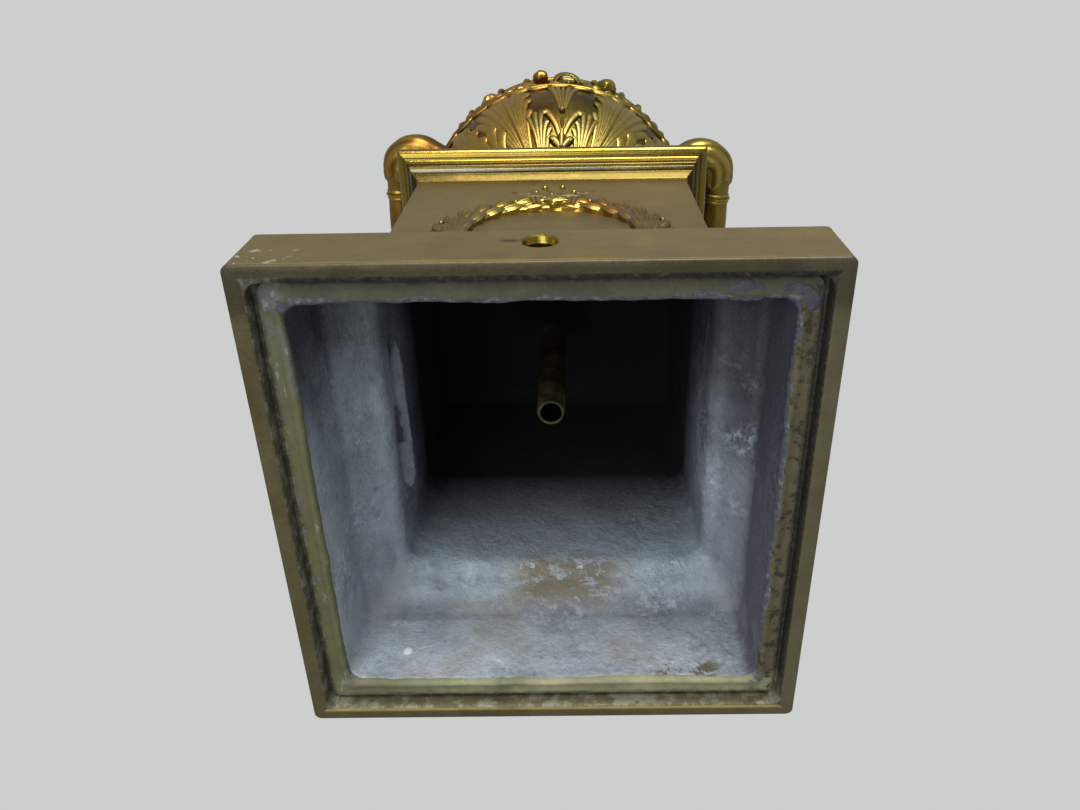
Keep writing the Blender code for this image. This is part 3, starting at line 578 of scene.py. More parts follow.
def zinc_casting():
    """Rough grey zinc of the hollow, bloomed white and stained brown at the back; painted light pales the
    back walls near the mouth, and painted shade darkens the front and takes it near black further in.
    """
    paint = Paint("zinc_casting")
    x, y, z = paint.axis("X"), paint.axis("Y"), paint.axis("Z")
    cloud = paint.noise(34.0, 6.0, 0.62)
    grain = paint.noise(520.0, 4.0, 0.7)
    paint.colour = paint.ramp(cloud, [(0.28, (0.24, 0.275, 0.315)), (0.5, (0.405, 0.455, 0.51)),
                                      (0.74, (0.53, 0.60, 0.655))])
    paint.coat(paint.fade(grain, 0.5, 0.72, 0.0, 0.65), (0.50, 0.55, 0.58))
    bloom = (paint.fade(paint.noise(26.0, 5.0, 0.7, twist=0.5), 0.50, 0.70)
             * paint.fade(grain, 0.30, 0.60, 0.3, 1.0))
    paint.coat(bloom * 0.75, (0.62, 0.68, 0.72))
    purple = paint.fade(x, 0.050, 0.066) * 0.55
    paint.coat(purple, (0.12, 0.115, 0.15))
    dark_left = paint.fade(paint.noise(48.0, 5.0, 0.6), 0.52, 0.66) * 0.42
    paint.coat(dark_left, (0.09, 0.10, 0.115))
    # Painted light: the hollow pales towards the back wall, which faces the light coming in; the painted
    # shadow below darkens the front
    paint.coat(paint.fade(y, -0.030, 0.030, 0.0, 0.14), (0.66, 0.72, 0.78))
    shadow = y + paint.fade(cloud, 0.3, 0.7, -0.010, 0.010)
    shadow = shadow - paint.fade(x, 0.020, 0.050, 0.0, 0.032)
    paint.coat(paint.fade(shadow, -0.018, -0.056, 0.0, 0.84), (0.040, 0.040, 0.044))
    # Painted shade: a dark band along the bend where the mouth's wall turns in, weaker on the side walls
    side_wall = paint.fade(abs(x), 0.055, 0.065)
    bend = paint.fade(z, 0.0330, 0.0365) * paint.fade(z, 0.0425, 0.0385)
    bend = bend * paint.fade(side_wall, 0.0, 1.0, 0.62, 0.15)
    paint.coat(bend, (0.10, 0.11, 0.13))
    # Bluish white speckle in drifts, warmer and browner drifts on the back
    drift = paint.fade(paint.noise(44.0, 5.0, 0.65, twist=0.3), 0.46, 0.60)
    speckle = drift * paint.fade(paint.noise(330.0, 5.0, 0.75), 0.46, 0.60, 0.0, 0.75)
    speckle = speckle * paint.fade(y, -0.040, -0.005)
    speckle = speckle * paint.fade(y, 0.050, 0.058, 1.0, 0.6)
    paint.coat(speckle, (0.70, 0.80, 0.88))
    # Painted light: the back wall of the neck pales towards its edge, where light coming in reaches it
    edge = paint.fade(y, 0.046, 0.053) * paint.fade(z, 0.080, 0.056)
    edge = edge * paint.fade(z, 0.0490, 0.0525)
    ragged = paint.fade(paint.noise(120.0, 5.0, 0.7), 0.35, 0.65, 0.25, 1.0)
    paint.coat(edge * ragged * 0.85, (0.66, 0.78, 0.88))
    # The right wall is dark and purple next to the mouth
    strip = x + paint.fade(paint.noise(90.0, 5.0, 0.6), 0.3, 0.7, -0.0010, 0.0010)
    strip = paint.fade(strip, 0.0640, 0.0662) * paint.fade(z, 0.040, 0.034)
    paint.coat(strip * 0.78, (0.120, 0.110, 0.145))
    pits = paint.fade(paint.noise(240.0, 5.0, 0.7), 0.60, 0.68, 0.0, 0.5)
    paint.coat(pits, (0.13, 0.145, 0.165))
    tan = paint.fade(y, 0.050, 0.056) * paint.fade(paint.noise(30.0, 4.0, 0.6), 0.48, 0.62, 0.0, 0.55)
    paint.coat(tan, (0.42, 0.40, 0.34))
    # Brown and white crust on the back of the hollow
    patch = (paint.fade(y, 0.052, 0.056) * paint.fade(abs(x - 0.005), 0.026, 0.012)
             * paint.fade(abs(z - 0.047), 0.010, 0.005))
    crusted = patch * paint.fade(paint.noise(110.0, 6.0, 0.75, (0.6, 1, 1.6)), 0.44, 0.50, 0.0, 0.85)
    paint.coat(crusted, (0.255, 0.210, 0.125))
    white = patch * paint.fade(paint.noise(260.0, 5.0, 0.7), 0.60, 0.66)
    paint.coat(white, (0.72, 0.78, 0.80))
    low = (paint.fade(y, 0.066, 0.0675) * paint.fade(abs(x - 0.045), 0.016, 0.008)
           * paint.fade(z, 0.015, 0.011))
    low = low * paint.fade(paint.noise(170.0, 5.0, 0.7), 0.50, 0.56)
    paint.coat(low, (0.17, 0.15, 0.09))
    torn = paint.fade(paint.relief(), 0.35, 0.25, 0.0, 0.62)
    paint.coat(torn, (0.060, 0.062, 0.068))
    # Painted shade: the hollow turns near black further in
    deep_shade = paint.fade(z, 0.054, 0.108, 0.0, 0.985)
    paint.coat(deep_shade, (0.001, 0.001, 0.0012))
    normal = paint.bump(grain, 0.0006, 0.9, paint.bump(paint.noise(110.0, 5.0, 0.7), 0.0016, 0.7))
    shine = paint.fade(cloud, 0.3, 0.7, 0.55, 0.78) + deep_shade * 0.25
    return paint.finish(shine, 0.35, normal)


def pipe_brass():
    """Brown brass of the pipe, greyed in patches, with painted shade that turns its bore black."""
    paint = Paint("pipe_brass")
    cloud = paint.noise(120.0, 5.0, 0.6)
    paint.colour = paint.ramp(cloud, [(0.3, (0.050, 0.042, 0.020)), (0.55, (0.120, 0.100, 0.045)),
                                      (0.75, (0.210, 0.180, 0.090))])
    grey = paint.fade(paint.noise(300.0, 4.0, 0.6), 0.55, 0.65, 0.0, 0.5)
    paint.coat(grey, (0.15, 0.16, 0.14))
    # Painted shade: the bore, where relief is low, is painted near black
    paint.coat(paint.fade(paint.relief(), 0.4, 0.1), (0.006, 0.006, 0.006))
    normal = paint.bump(paint.noise(600.0, 3.0, 0.6), 0.0002, 0.5)
    return paint.finish(paint.fade(cloud, 0.3, 0.7, 0.3, 0.55), 0.9, normal)


def floor_paper():
    """Pale paper that the urn stands on."""
    paint = Paint("floor_paper")
    paint.colour = paint.ramp(paint.noise(6.0, 3.0, 0.5), [(0.3, (0.60, 0.61, 0.61)),
                                                           (0.7, (0.64, 0.645, 0.64))])
    paint.finish(0.8, 0.0)
    # The sheet shows from above alone, so that a view from below looks up at the underside
    blend = paint.node("MixShader", Fac=paint.node("NewGeometry").outputs["Backfacing"])
    paint.put(blend.inputs[1], paint.shader.outputs[0])
    paint.put(blend.inputs[2], paint.node("BsdfTransparent").outputs[0])
    paint.put(paint.nodes["Material Output"].inputs["Surface"], blend.outputs[0])
    return paint.material


def square_ring(half, height, corner, side_steps=88, corner_steps=8):
    """Points round a square plan with rounded corners, all at one height."""
    corner = min(corner, half * 0.9)
    flat = half - corner
    points = []
    for quarter in range(4):
        turn = Matrix.Rotation(math.radians(90 * quarter), 3, "Z")
        for i in range(side_steps):
            points.append(turn @ Vector((-flat + 2 * flat * i / side_steps, -half, height)))
        for i in range(corner_steps):
            angle = math.radians(-90 + 90 * i / corner_steps)
            points.append(turn @ Vector((
                flat + corner * math.cos(angle), -flat + corner * math.sin(angle), height)))
    return points


def round_ring(radius, height, pattern):
    """A circle with one point for each point of a pattern."""
    ring = []
    for point in pattern:
        flat = Vector((point.x, point.y, 0)).normalized() * radius
        ring.append(Vector((flat.x, flat.y, height)))
    return ring


def straight(start, end, steps):
    """Points after the start of a straight run, as far as its end."""
    return [(start[0] + (end[0] - start[0]) * i / steps, start[1] + (end[1] - start[1]) * i / steps)
            for i in range(1, steps + 1)]


SATIN, CORNICE, RIM, ZINC = range(4)


def pedestal_rows():
    """Rows of the pedestal from its top down outside, across its rim and up inside.

    Each row is half width, height, corner radius, material slot and roughness of the casting.
    """
    rows = []

    def add(points, corner, slot, rough=0.0):
        for half, height in points:
            rows.append((half, height, corner, slot, rough))

    top = PEDESTAL_HEIGHT
    lip = CORNICE_HALF
    add([(0.030, top), (0.050, top), (lip - 0.0007, top)], 0.0006, CORNICE)
    add(arc((lip - 0.0006, top - 0.0006), (0.0006, 0.0006), 80, 0, 3), 0.0006, CORNICE)
    add(arc((lip - 0.0029, top - 0.0012), (0.0029, 0.0026), -6, -88, 8), 0.0006, CORNICE)
    inner = lip - 0.0032
    add([(inner, top - 0.0041), (inner, top - 0.0046)], 0.0005, CORNICE)
    half_cyma, middle = 0.0016, top - 0.0070
    add(arc((inner, middle), (half_cyma, 0.0024), 92, 180, 7), 0.0005, CORNICE)
    add(arc((inner - 2 * half_cyma, middle), (half_cyma, 0.0024), 0, -88, 7)[1:], 0.0005, CORNICE)
    fillet = inner - 2 * half_cyma
    add([(fillet, top - 0.0097), (fillet, top - 0.0106), (fillet - 0.0002, top - 0.0108)], 0.0005,
        CORNICE)
    add([(fillet - 0.0016, top - 0.0109), (fillet - 0.0017, top - 0.0124)], 0.0004, CORNICE)
    bead = DIE_HALF + 0.0033
    add(arc((bead - 0.0008, top - 0.0137), (0.0008, 0.0009), 80, -60, 6), 0.0004, CORNICE)
    add([(DIE_HALF + 0.0011, top - 0.0155), (DIE_HALF + 0.0006, top - 0.0166),
         (DIE_HALF, top - 0.0172)], 0.0004, CORNICE)
    add([(DIE_HALF, top - 0.0176)] + straight((DIE_HALF, top - 0.0176), (DIE_HALF, DIE_FOOT), 24),
        0.0005, SATIN)
    add([(DIE_HALF + 0.0016, DIE_FOOT - 0.0002), (DIE_HALF + DIE_FILLET, DIE_FOOT - 0.0006)], 0.0006,
        SATIN)
    add(arc((COURSE_HALF, DIE_FOOT - DIE_FILLET), (COURSE_HALF - DIE_HALF - DIE_FILLET, COVE_HEIGHT),
            184, 268, 10), 0.0008, SATIN)
    course_top = DIE_FOOT - DIE_FILLET - COVE_HEIGHT
    add([(COURSE_HALF, course_top - 0.0005), (COURSE_HALF, 0.034), (COURSE_HALF, BASE_HEIGHT + 0.0004)],
        0.0010, SATIN)
    add([(COURSE_HALF + 0.0006, BASE_HEIGHT), (BASE_HALF - 0.0012, BASE_HEIGHT)], 0.0015, SATIN)
    add(arc((BASE_HALF - 0.001, BASE_HEIGHT - 0.001), (0.001, 0.001), 80, 0, 4), 0.0020, SATIN)
    add(straight((BASE_HALF, BASE_HEIGHT - 0.001), (BASE_HALF, 0.0007), 14), 0.0022, SATIN)
    add(arc((BASE_HALF - 0.0006, 0.0006), (0.0006, 0.0006), -10, -80, 3), 0.0022, RIM)
    add([(BASE_HALF - 0.0022, 0.0), (LEDGE_HALF + 0.0014, 0.0), (LEDGE_HALF + 0.0003, 0.0)], 0.0030, RIM,
        0.00006)
    add([(LEDGE_HALF, 0.0003), (LEDGE_HALF, 0.0030), (LEDGE_HALF, 0.0058)], 0.0034, RIM, 0.00008)
    add([(LEDGE_HALF - 0.0003, 0.0060), (LEDGE_HALF - 0.0010, 0.0060),
         (LEDGE_HALF - GROOVE_WIDTH, 0.0056), (LEDGE_HALF - 0.0014, RIM_DEPTH + 0.0001)],
        0.0034, RIM, 0.0001)
    add([(LEDGE_HALF - inset, RIM_DEPTH) for inset in (0.0022, 0.0034, 0.0044)], 0.0034, RIM, 0.00012)
    add([(MOUTH_HALF + 0.0018, 0.0041), (MOUTH_HALF + 0.0010, 0.0037), (MOUTH_HALF + 0.0003, 0.0038)],
        0.0038, RIM, 0.00035)
    add([(MOUTH_HALF - 0.0003, 0.0044), (MOUTH_HALF - 0.0006, 0.0056)], 0.0044, RIM, 0.0006)
    add([(MOUTH_HALF - 0.0004, 0.0075)], 0.0050, ZINC, 0.0005)
    wall = MOUTH_HALF - 0.0002
    add(straight((wall, 0.0075), (wall, MOUTH_DEPTH), 22), 0.0060, ZINC, 0.0004)
    add(arc((wall - 0.0048, MOUTH_DEPTH), (0.0048, 0.0048), 10, 60, 6), 0.0060, ZINC, 0.0004)
    low, high = (MOUTH_HALF - 0.0028, MOUTH_DEPTH + 0.0047), (NECK_HALF + 0.0050, NECK_START - 0.0073)
    add(straight(low, high, 8), 0.0055, ZINC, 0.0005)
    add(arc((NECK_HALF + 0.0062, NECK_START), (0.0062, 0.0066), 246, 186, 7), 0.0050, ZINC, 0.0005)
    wall = NECK_HALF + 0.0001
    add(straight((wall, NECK_START + 0.0010), (wall, ROOF - 0.004), 68), 0.0045, ZINC, 0.0004)
    add([(NECK_HALF - 0.002, ROOF - 0.001), (0.048, ROOF), (0.030, ROOF)], 0.0045, ZINC, 0.0003)
    return rows


def pedestal_shape():
    """The hollow pedestal, from the bore in its top round its rim and back up inside."""
    shape = Shape()
    pattern = square_ring(0.05, 0.0, 0.001)
    bore = PIPE_RADIUS + 0.0003
    rings = [round_ring(bore, PEDESTAL_HEIGHT, pattern)]
    slots = [CORNICE]
    rows = pedestal_rows()
    for half, height, corner, slot, rough in rows:
        ring = []
        for point in square_ring(half, height, corner):
            if rough:
                drift = (noise.noise_vector(point * 75) * rough + noise.noise_vector(point * 260) * rough
                         * 0.55)
                point = point + drift
                if point.z < 0:
                    point.z = 0.0
            ring.append(point)
        rings.append(ring)
        slots.append(slot)
    rings.append(round_ring(bore, ROOF, pattern))
    slots.append(ZINC)
    levels = [[0.5] * len(pattern)]
    for half, height, corner, slot, rough in rows:
        level = 0.5
        # Painted shade: the relief level dips at the cornice's grooves, and the cornice gilt paints those
        # dips darker
        if slot == CORNICE:
            for drop, depth, width in ((0.0043, 0.75, 0.0004), (0.0086, 0.62, 0.0013),
                                       (0.0116, 1.00, 0.0008),
                                       (0.0148, 0.95, 0.0019)):
                level -= depth * math.exp(-((PEDESTAL_HEIGHT - drop - height) / width) ** 2)
        levels.append([level] * len(pattern))
    levels.append([0.1] * len(pattern))
    # Each band of faces takes the slot of the row that it runs to
    shape.loft(rings, levels, slots[1:] + [CORNICE], hoop=True)
    return shape


def cut_cord_hole(item):
    """The gilt countersunk hole in the middle of the block's front."""
    shape = Shape()
    rings = []
    for radius, depth in ((COUNTERSINK + 0.0002, -0.0006), (COUNTERSINK, 0.0),
                          (COUNTERSINK - 0.0006, 0.0003),
                          (CORD_HOLE + 0.0002, 0.0016), (CORD_HOLE, 0.0020), (CORD_HOLE, 0.0150)):
        rings.append([Vector((radius * math.cos(a), -BASE_HALF + depth,
                              CORD_HOLE_HEIGHT + radius * math.sin(a)))
                      for a in turns(48)])
    shape.loft(rings, [[0.9] * 48] * len(rings))
    mesh = closed_mesh("cord_hole_cut", shape.points, shape.faces)
    mesh.materials.append(item.data.materials[CORNICE])
    cutter = add_object("cord_hole_cut", mesh)
    step = item.modifiers.new("cord_hole", "BOOLEAN")
    step.operation = "DIFFERENCE"
    step.solver = "EXACT"
    step.material_mode = "TRANSFER"
    step.object = cutter
    made = bpy.data.meshes.new_from_object(item.evaluated_get(bpy.context.evaluated_depsgraph_get()))
    item.modifiers.clear()
    item.data = made
    bpy.data.objects.remove(cutter, do_unlink=True)


def die_spot(turn, radius, height=0.0):
    """A point of the wreath; turn counts from its foot, clockwise seen from the front for plus."""
    return Vector((WREATH_SHIFT + radius * math.sin(turn), -DIE_HALF - height,
                   WREATH_HEIGHT - radius * math.cos(turn)))


def wreath_shape():
    """Laurel wreath with its berries, boss and bow."""
    shape = Shape()
    out = Vector((0, -1, 0))
    # Ground that the leaves lie on
    rings, levels = [], []
    for turn in turns(200):
        wave = 0.0003 * math.sin(turn * 23) + 0.0004 * wander((turn * 3, 0, 0), 1.0)
        ring = []
        for radius, height in ((0.0300, -0.001), (0.0302, 0.0014), (0.0310, 0.0021), (0.0326, 0.0024),
                               (0.0360, 0.0024), (0.0398, 0.0015), (0.0424, 0.0005), (0.0430, -0.001)):
            ring.append(die_spot(turn, radius + (wave if height > 0 else 0), height))
        rings.append(ring)
        levels.append([0.0, 0.05, 0.15, 0.25, 0.2, 0.1, 0.05, 0.0])
    shape.loft(rings, levels, hoop=True)

    def leaf(start, radius, spread, lean, half, height, base, seed):
        path = []
        for s in steps_of(10):
            turn = start + spread * s
            reach = (radius + lean * s + 0.0006 * math.sin(math.pi * s)
                     * wander((start, radius * 50, 0), 3, seed))
            rise = base * (0.35 + 0.65 * s) - 0.0010 * s ** 3
            path.append((die_spot(turn, reach, rise), out))
        shape.ridge(path, lambda s: half * max(0.05, math.sin(math.pi * (0.10 + 0.86 * s) ** 1.1)),
                    lambda s: height * max(0.15, math.sin(math.pi * (0.15 + 0.75 * s))), "leaf", 8, 0.0015)

    # Rows of leaves: number, first bearing, step, radius, sweep, lean, half width, stand and seed
    rows = ((11, 3, 15.4, 0.0320, 20, 0.0002, 0.0026, 0.0031, 1.0),
            (12, 1, 14.0, 0.0352, 16, 0.0032, 0.0023, 0.0034, 20.0),
            (13, 4, 12.8, 0.0378, 11, 0.0062, 0.0020, 0.0024, 40.0))
    for side in (1, -1):
        for number, first, step, radius, sweep, lean, half, stand, seed in rows:
            for i in range(number):
                leaf(side * math.radians(first + i * step), radius, side * math.radians(sweep), lean, half,
                     0.0012, stand, seed + i)
        for i in range(10):
            turn = side * math.radians(12 + i * 16.5)
            shape.ball(die_spot(turn, 0.0436, 0.0004), (0.0010, 0.0010), out, steps=10, rows=6, seed=i)
    # Ribbon bands that bind the laurel
    for turn in (167, 191, 8, -8):
        for shift in (-1.6, 1.6):
            angle = math.radians(turn + shift)
            path = [(die_spot(angle, 0.0304 + 0.0122 * i / 10,
                              0.0022 + 0.0018 * math.sin(math.pi * min(1.0, 0.15 + i / 10))), out)
                    for i in range(11)]
            shape.ridge(path, lambda s: 0.0009, lambda s: 0.0005, "round", 6, 0.0030)
    # Oval boss at the head of the wreath, a leaf lying across it
    head = math.radians(180 - 2.5)
    shape.ball(die_spot(head, 0.0338, 0.0026), (0.0046, 0.0024), out, petals=5, steps=30, rows=12)
    path = [(die_spot(head + math.radians(8 - 16 * i / 12), 0.0318, 0.0040), out) for i in range(13)]
    shape.ridge(path, lambda s: 0.0019 * max(0.06, math.sin(math.pi * s)),
                lambda s: 0.0009 * max(0.1, math.sin(math.pi * s)), "leaf", 8, 0.0026)
    # Flat bow above the boss
    knot = Vector((0.001, -DIE_HALF - 0.0004, WREATH_HEIGHT + 0.0470))
    shape.ball(knot, (0.0022, 0.0013), out, steps=16)
    for side in (-1, 1):
        path = []
        for i in range(29):
            turn = 2 * math.pi * i / 28
            bulge = 0.0058 * (1 - math.cos(turn))
            x = side * (0.0010 + bulge)
            z = 0.0040 * math.sin(turn) * (0.6 + 0.4 * abs(math.sin(turn / 2))) + 0.16 * bulge
            path.append((Vector((knot.x + x, -DIE_HALF, knot.z + z)), out))
        shape.ridge(path, lambda s: 0.0008 + 0.0005 * math.sin(math.pi * s),
                    lambda s: 0.0004 + 0.0002 * math.sin(3 * math.pi * s) ** 2, "leaf", 6, 0.0012)
        for lean in (0.55, 1.0):
            tail = []
            for s in steps_of(14):
                x = side * (0.0015 + 0.015 * s * lean)
                z = 0.0024 + 0.009 * s - 0.0014 * math.sin(3 * math.pi * s) * lean
                tail.append((Vector((knot.x + x, -DIE_HALF, knot.z + z)), out))
            shape.ridge(tail, lambda s: 0.0006 + 0.0008 * s,
                        lambda s: 0.0003 + 0.0002 * math.sin(3 * math.pi * s) ** 2, "leaf", 6, 0.0010)
    for x, z in ((-0.0026, 0.0625), (0.0047, 0.0630), (-0.0060, 0.0560), (0.0093, 0.0550)):
        stem = []
        for s in steps_of(10):
            side = knot.x + (x - knot.x) * s + 0.0008 * math.sin(math.pi * s)
            stem.append((Vector((side, -DIE_HALF, knot.z + (WREATH_HEIGHT + z - knot.z) * s)), out))
        shape.ridge(stem, swelling(0.0012, 0.1, 0.9), lambda s: 0.0005, "leaf", 6, 0.0008)
    for x, z, size in ((-0.0026, 0.0625, 0.0013), (0.0047, 0.0630, 0.0013), (-0.0060, 0.0560, 0.0009),
                       (0.0093, 0.0550, 0.0012), (0.0004, 0.0520, 0.0009)):
        shape.ball(Vector((x, -DIE_HALF - 0.0002, WREATH_HEIGHT + z)), (size, size), out, 1, steps=12,
                   seed=x)
    return shape


def bowl_curve(t):
    """Radius and height of the bowl's outside at t from the stem (0) to the rim (1), then the frieze."""
    if t > 1.0:
        rise = (t - 1.0) * (BOWL_RIM - BOWL_START)
        inset = smooth_step(rise / 0.004) * (BOWL_RADIUS - FRIEZE_RADIUS)
        return BOWL_RADIUS - inset, URN_BASE + BOWL_RIM + rise
    first = math.radians(BOWL_FIRST_ANGLE)
    angle = math.radians(BOWL_FIRST_ANGLE + BOWL_SWEEP * t)
    start = math.sin(first)
    span = math.cos(first)
    radius = STEM_RADIUS + (BOWL_RADIUS - STEM_RADIUS) * (math.sin(angle) - start) / (1 - start)
    height = BOWL_RIM - (BOWL_RIM - BOWL_START) * math.cos(angle) / span
    return radius, URN_BASE + height


def on_bowl(bearing, t, height=0.0):
    """Point and outward normal on the bowl; bearing in degrees from the front."""
    radius, level = bowl_curve(t)
    above = bowl_curve(t + 0.01)
    run = Vector((above[0] - radius, above[1] - level)).normalized()
    flat = outward(bearing)
    normal = flat * run.y - UP * run.x
    return flat * radius + UP * level + normal * height, normal


def urn_profile():
    """Outside from the foot up to the lip, then the inside down to its floor, heights from the foot."""
    rim = BOWL_RIM
    frieze_top = rim + FRIEZE_HEIGHT
    neck = frieze_top + NECK_SWEEP[1]
    mouth = neck + NECK_HEIGHT
    out = [(0.0060, 0.0), (0.030, 0.0), (FOOT_RADIUS - 0.0006, 0.0), (FOOT_RADIUS, 0.0006),
           (FOOT_RADIUS, 0.0034)]
    out += arc((FOOT_RADIUS - 0.004, 0.0078), (0.004, 0.0040), -70, 75, 10)
    out += [(FOOT_RADIUS - 0.0045, 0.0122), (FOOT_RADIUS - 0.0050, 0.0131),
            (FOOT_RADIUS - 0.0080, 0.0133)]
    out += arc((FOOT_RADIUS - 0.008, 0.0370), (0.0228, 0.0237), 268, 182, 16)
    out += [(0.0158, 0.0380), (0.0158, 0.0388)]
    out += arc((KNOP_RADIUS - 0.0058, 0.0440), (0.0058, 0.0046), -80, 80, 12)
    out += [(0.0158, 0.0492), (0.0156, 0.0500), (0.0152, 0.0506)]
    for i in range(2, 49):
        radius, height = bowl_curve(i / 50)
        out.append((radius, height - URN_BASE))
    out += arc((BOWL_RADIUS - 0.0002, rim), (0.0024, 0.0017), -80, 85, 8)
    out += [(FRIEZE_RADIUS + 0.0006, rim + 0.0024), (FRIEZE_RADIUS, rim + 0.0036)]
    out += straight((FRIEZE_RADIUS, rim + 0.0036), (FRIEZE_RADIUS, frieze_top - 0.0022), 14)
    out += arc((FRIEZE_RADIUS, frieze_top), (0.0024, 0.0016), -80, 85, 8)
    out += [(FRIEZE_RADIUS - 0.0015, frieze_top + 0.0021)]
    out += arc((NECK_RADIUS, frieze_top), NECK_SWEEP, 10, 78, 16)
    out += [(NECK_RADIUS + 0.0018, neck + 0.0006), (NECK_RADIUS + 0.0024, neck + 0.0016),
            (NECK_RADIUS + 0.0018, neck + 0.0026), (NECK_RADIUS, neck + 0.0034),
            (NECK_RADIUS, neck + 0.0070)]
    out += arc((MOUTH_RADIUS, neck + 0.010), (MOUTH_RADIUS - NECK_RADIUS, 0.0186), 178, 94, 16)
    out += arc((MOUTH_RADIUS - 0.0004, mouth - 0.0011), (0.0026, 0.0011), -60, 88, 8)
    out += [(MOUTH_RADIUS - 0.0022, mouth), (MOUTH_RADIUS - 0.0036, mouth - 0.0003)]
    inner = arc((MOUTH_RADIUS - 0.0005, neck + 0.010), (MOUTH_RADIUS - NECK_RADIUS + 0.0025, 0.0186),
                106, 178, 14)
    inner += [(NECK_RADIUS - 0.003, neck + 0.004)]
    inner += arc((NECK_RADIUS - 0.001, frieze_top), (0.0230, 0.0176), 84, 10, 14)
    inner += straight((FRIEZE_RADIUS - 0.003, frieze_top - 0.001), (FRIEZE_RADIUS - 0.003, rim + 0.001),
                      10)
    for i in range(40, 5, -1):
        radius, height = bowl_curve(i / 41)
        below = bowl_curve(i / 41 - 0.01)
        run = Vector((radius - below[0], height - below[1])).normalized()
        inner.append((radius - run.y * URN_WALL, height + run.x * URN_WALL - URN_BASE))
    return out, inner


def urn_shape():
    """Foot, stem, bowl, frieze and neck, turned from one profile."""
    shape = Shape()
    steps = 192
    out, inner = urn_profile()
    profile = out + inner + [(0.004, inner[-1][1])]
    rings, levels = [], []
    for index, (radius, height) in enumerate(profile):
        ring = []
        level = []
        # Painted shade: the outside of the bowl under its leaves and the whole inside take a lower relief
        # level and are painted darker than the foot, stem, rim, frieze and neck
        worn_and_unshaded = height > BOWL_RIM - 0.004 or radius < 0.05
        for turn in turns(steps):
            spot = Vector((radius * math.sin(turn), -radius * math.cos(turn), URN_BASE + height))
            ring.append(spot)
            level.append(0.46 if worn_and_unshaded and index < len(out) else 0.30)
        rings.append(ring)
        levels.append(level)
    shape.loft(rings, levels, [0] * (len(out) + 2) + [1] * (len(profile) - len(out)))
    return shape


def swell(s, start=0.18, end=0.94):
    """Share of its full size that a form has at s, largest near its middle."""
    return max(0.08, math.sin(math.pi * (start + (end - start) * s)))


def swelling(size, start=0.18, end=0.94):
    return lambda s: size * swell(s, start, end)


def bowl_ridge(shape, marks, width, height, style="round", base=0.0, sides=6, steps=14, slot=0,
               sink=0.0012):
    """A ridge through (bearing, t) marks, smoothed between them."""
    path = []
    last = len(marks) - 1
    for i in range(steps + 1):
        at = i / steps * last
        k = min(int(at), last - 1)
        f = at - k
        p0, p1 = marks[max(k - 1, 0)], marks[k]
        p2, p3 = marks[k + 1], marks[min(k + 2, last)]
        spot = []
        for a, b, c, d in zip(p0, p1, p2, p3):
            spot.append(0.5 * (2 * b + (c - a) * f + (2 * a - 5 * b + 4 * c - d) * f * f
                               + (3 * b - a - 3 * c + d) * f ** 3))
        path.append(on_bowl(*spot))
    shape.ridge(path, width, height, style, sides, sink, slot, base)


def tip(s, start=0.80):
    """Share of its full size that a form keeps as it nears its rounded end."""
    if s <= start:
        return 1.0
    return math.sqrt(max(0.03, 1 - ((s - start) / (1.02 - start)) ** 2))


def finger(shape, marks, half, high, slot, foot=0.30, base=0.0, style="round"):
    """One lobe of a leaf, narrow at its foot and round at its tip."""
    bowl_ridge(shape, marks, lambda s: half * (foot + (1 - foot) * s ** 0.8) * tip(s),
               lambda s: high * (0.40 + 0.60 * s) * tip(s, 0.86), style, base, 8, 20, slot)


def spray(shape, centre, low, high, spread, count, half, rise, slot, base=0.0):
    """A leaf of fingers that fan out from one foot, the outer ones shorter."""
    for i in range(count):
        u = -1 + 2 * i / (count - 1)
        end = high - (high - low) * 0.42 * abs(u) ** 1.6 + 0.012 * wander((u * 3, centre, low), 1.0)
        marks = [(centre + u * spread * 0.14, low),
                 (centre + u * spread * 0.42, low + (end - low) * 0.42),
                 (centre + u * spread * 0.78, low + (end - low) * 0.80),
                 (centre + u * spread * 1.04, end)]
        finger(shape, marks, half, rise, slot, 0.30, base)


PALE, WARM, OLIVE = range(3)

# Lobes as bearings from the middle of a face and places up the bowl, with half widths
SMALL_FAN = (
    (((12.8, 0.37), (13.4, 0.50), (15.0, 0.60), (15.9, 0.632)), 0.00189),
    (((11.9, 0.37), (12.2, 0.52), (12.6, 0.63), (12.2, 0.668)), 0.002079),
    (((11.0, 0.37), (10.5, 0.53), (9.8, 0.64), (8.9, 0.672)), 0.002079),
    (((10.1, 0.37), (9.2, 0.49), (7.9, 0.570), (6.5, 0.592)), 0.002016),
    (((9.2, 0.37), (8.0, 0.45), (6.4, 0.525), (4.9, 0.538)), 0.001827),
    (((8.5, 0.36), (7.7, 0.42), (6.9, 0.478), (5.8, 0.487)), 0.001512),
)
FLAME = (
    (((16.9, 0.38), (16.8, 0.52), (15.9, 0.64), (13.9, 0.700)), 0.002244),
    (((17.3, 0.38), (17.7, 0.58), (16.6, 0.75), (13.9, 0.805)), 0.002448),
    (((17.7, 0.38), (18.8, 0.62), (17.9, 0.82), (14.4, 0.895)), 0.002584),
    (((18.1, 0.38), (19.8, 0.64), (19.6, 0.86), (17.0, 0.945)), 0.002584),
    (((18.5, 0.38), (21.0, 0.64), (22.0, 0.86), (20.8, 0.965)), 0.002584),
    (((18.9, 0.38), (22.3, 0.64), (24.6, 0.86), (25.0, 0.975)), 0.002584),
)
FLUTE_ENDS = ((28.6, 0.98), (32.2, 0.98), (35.8, 0.95), (38.6, 0.88), (40.0, 0.79))
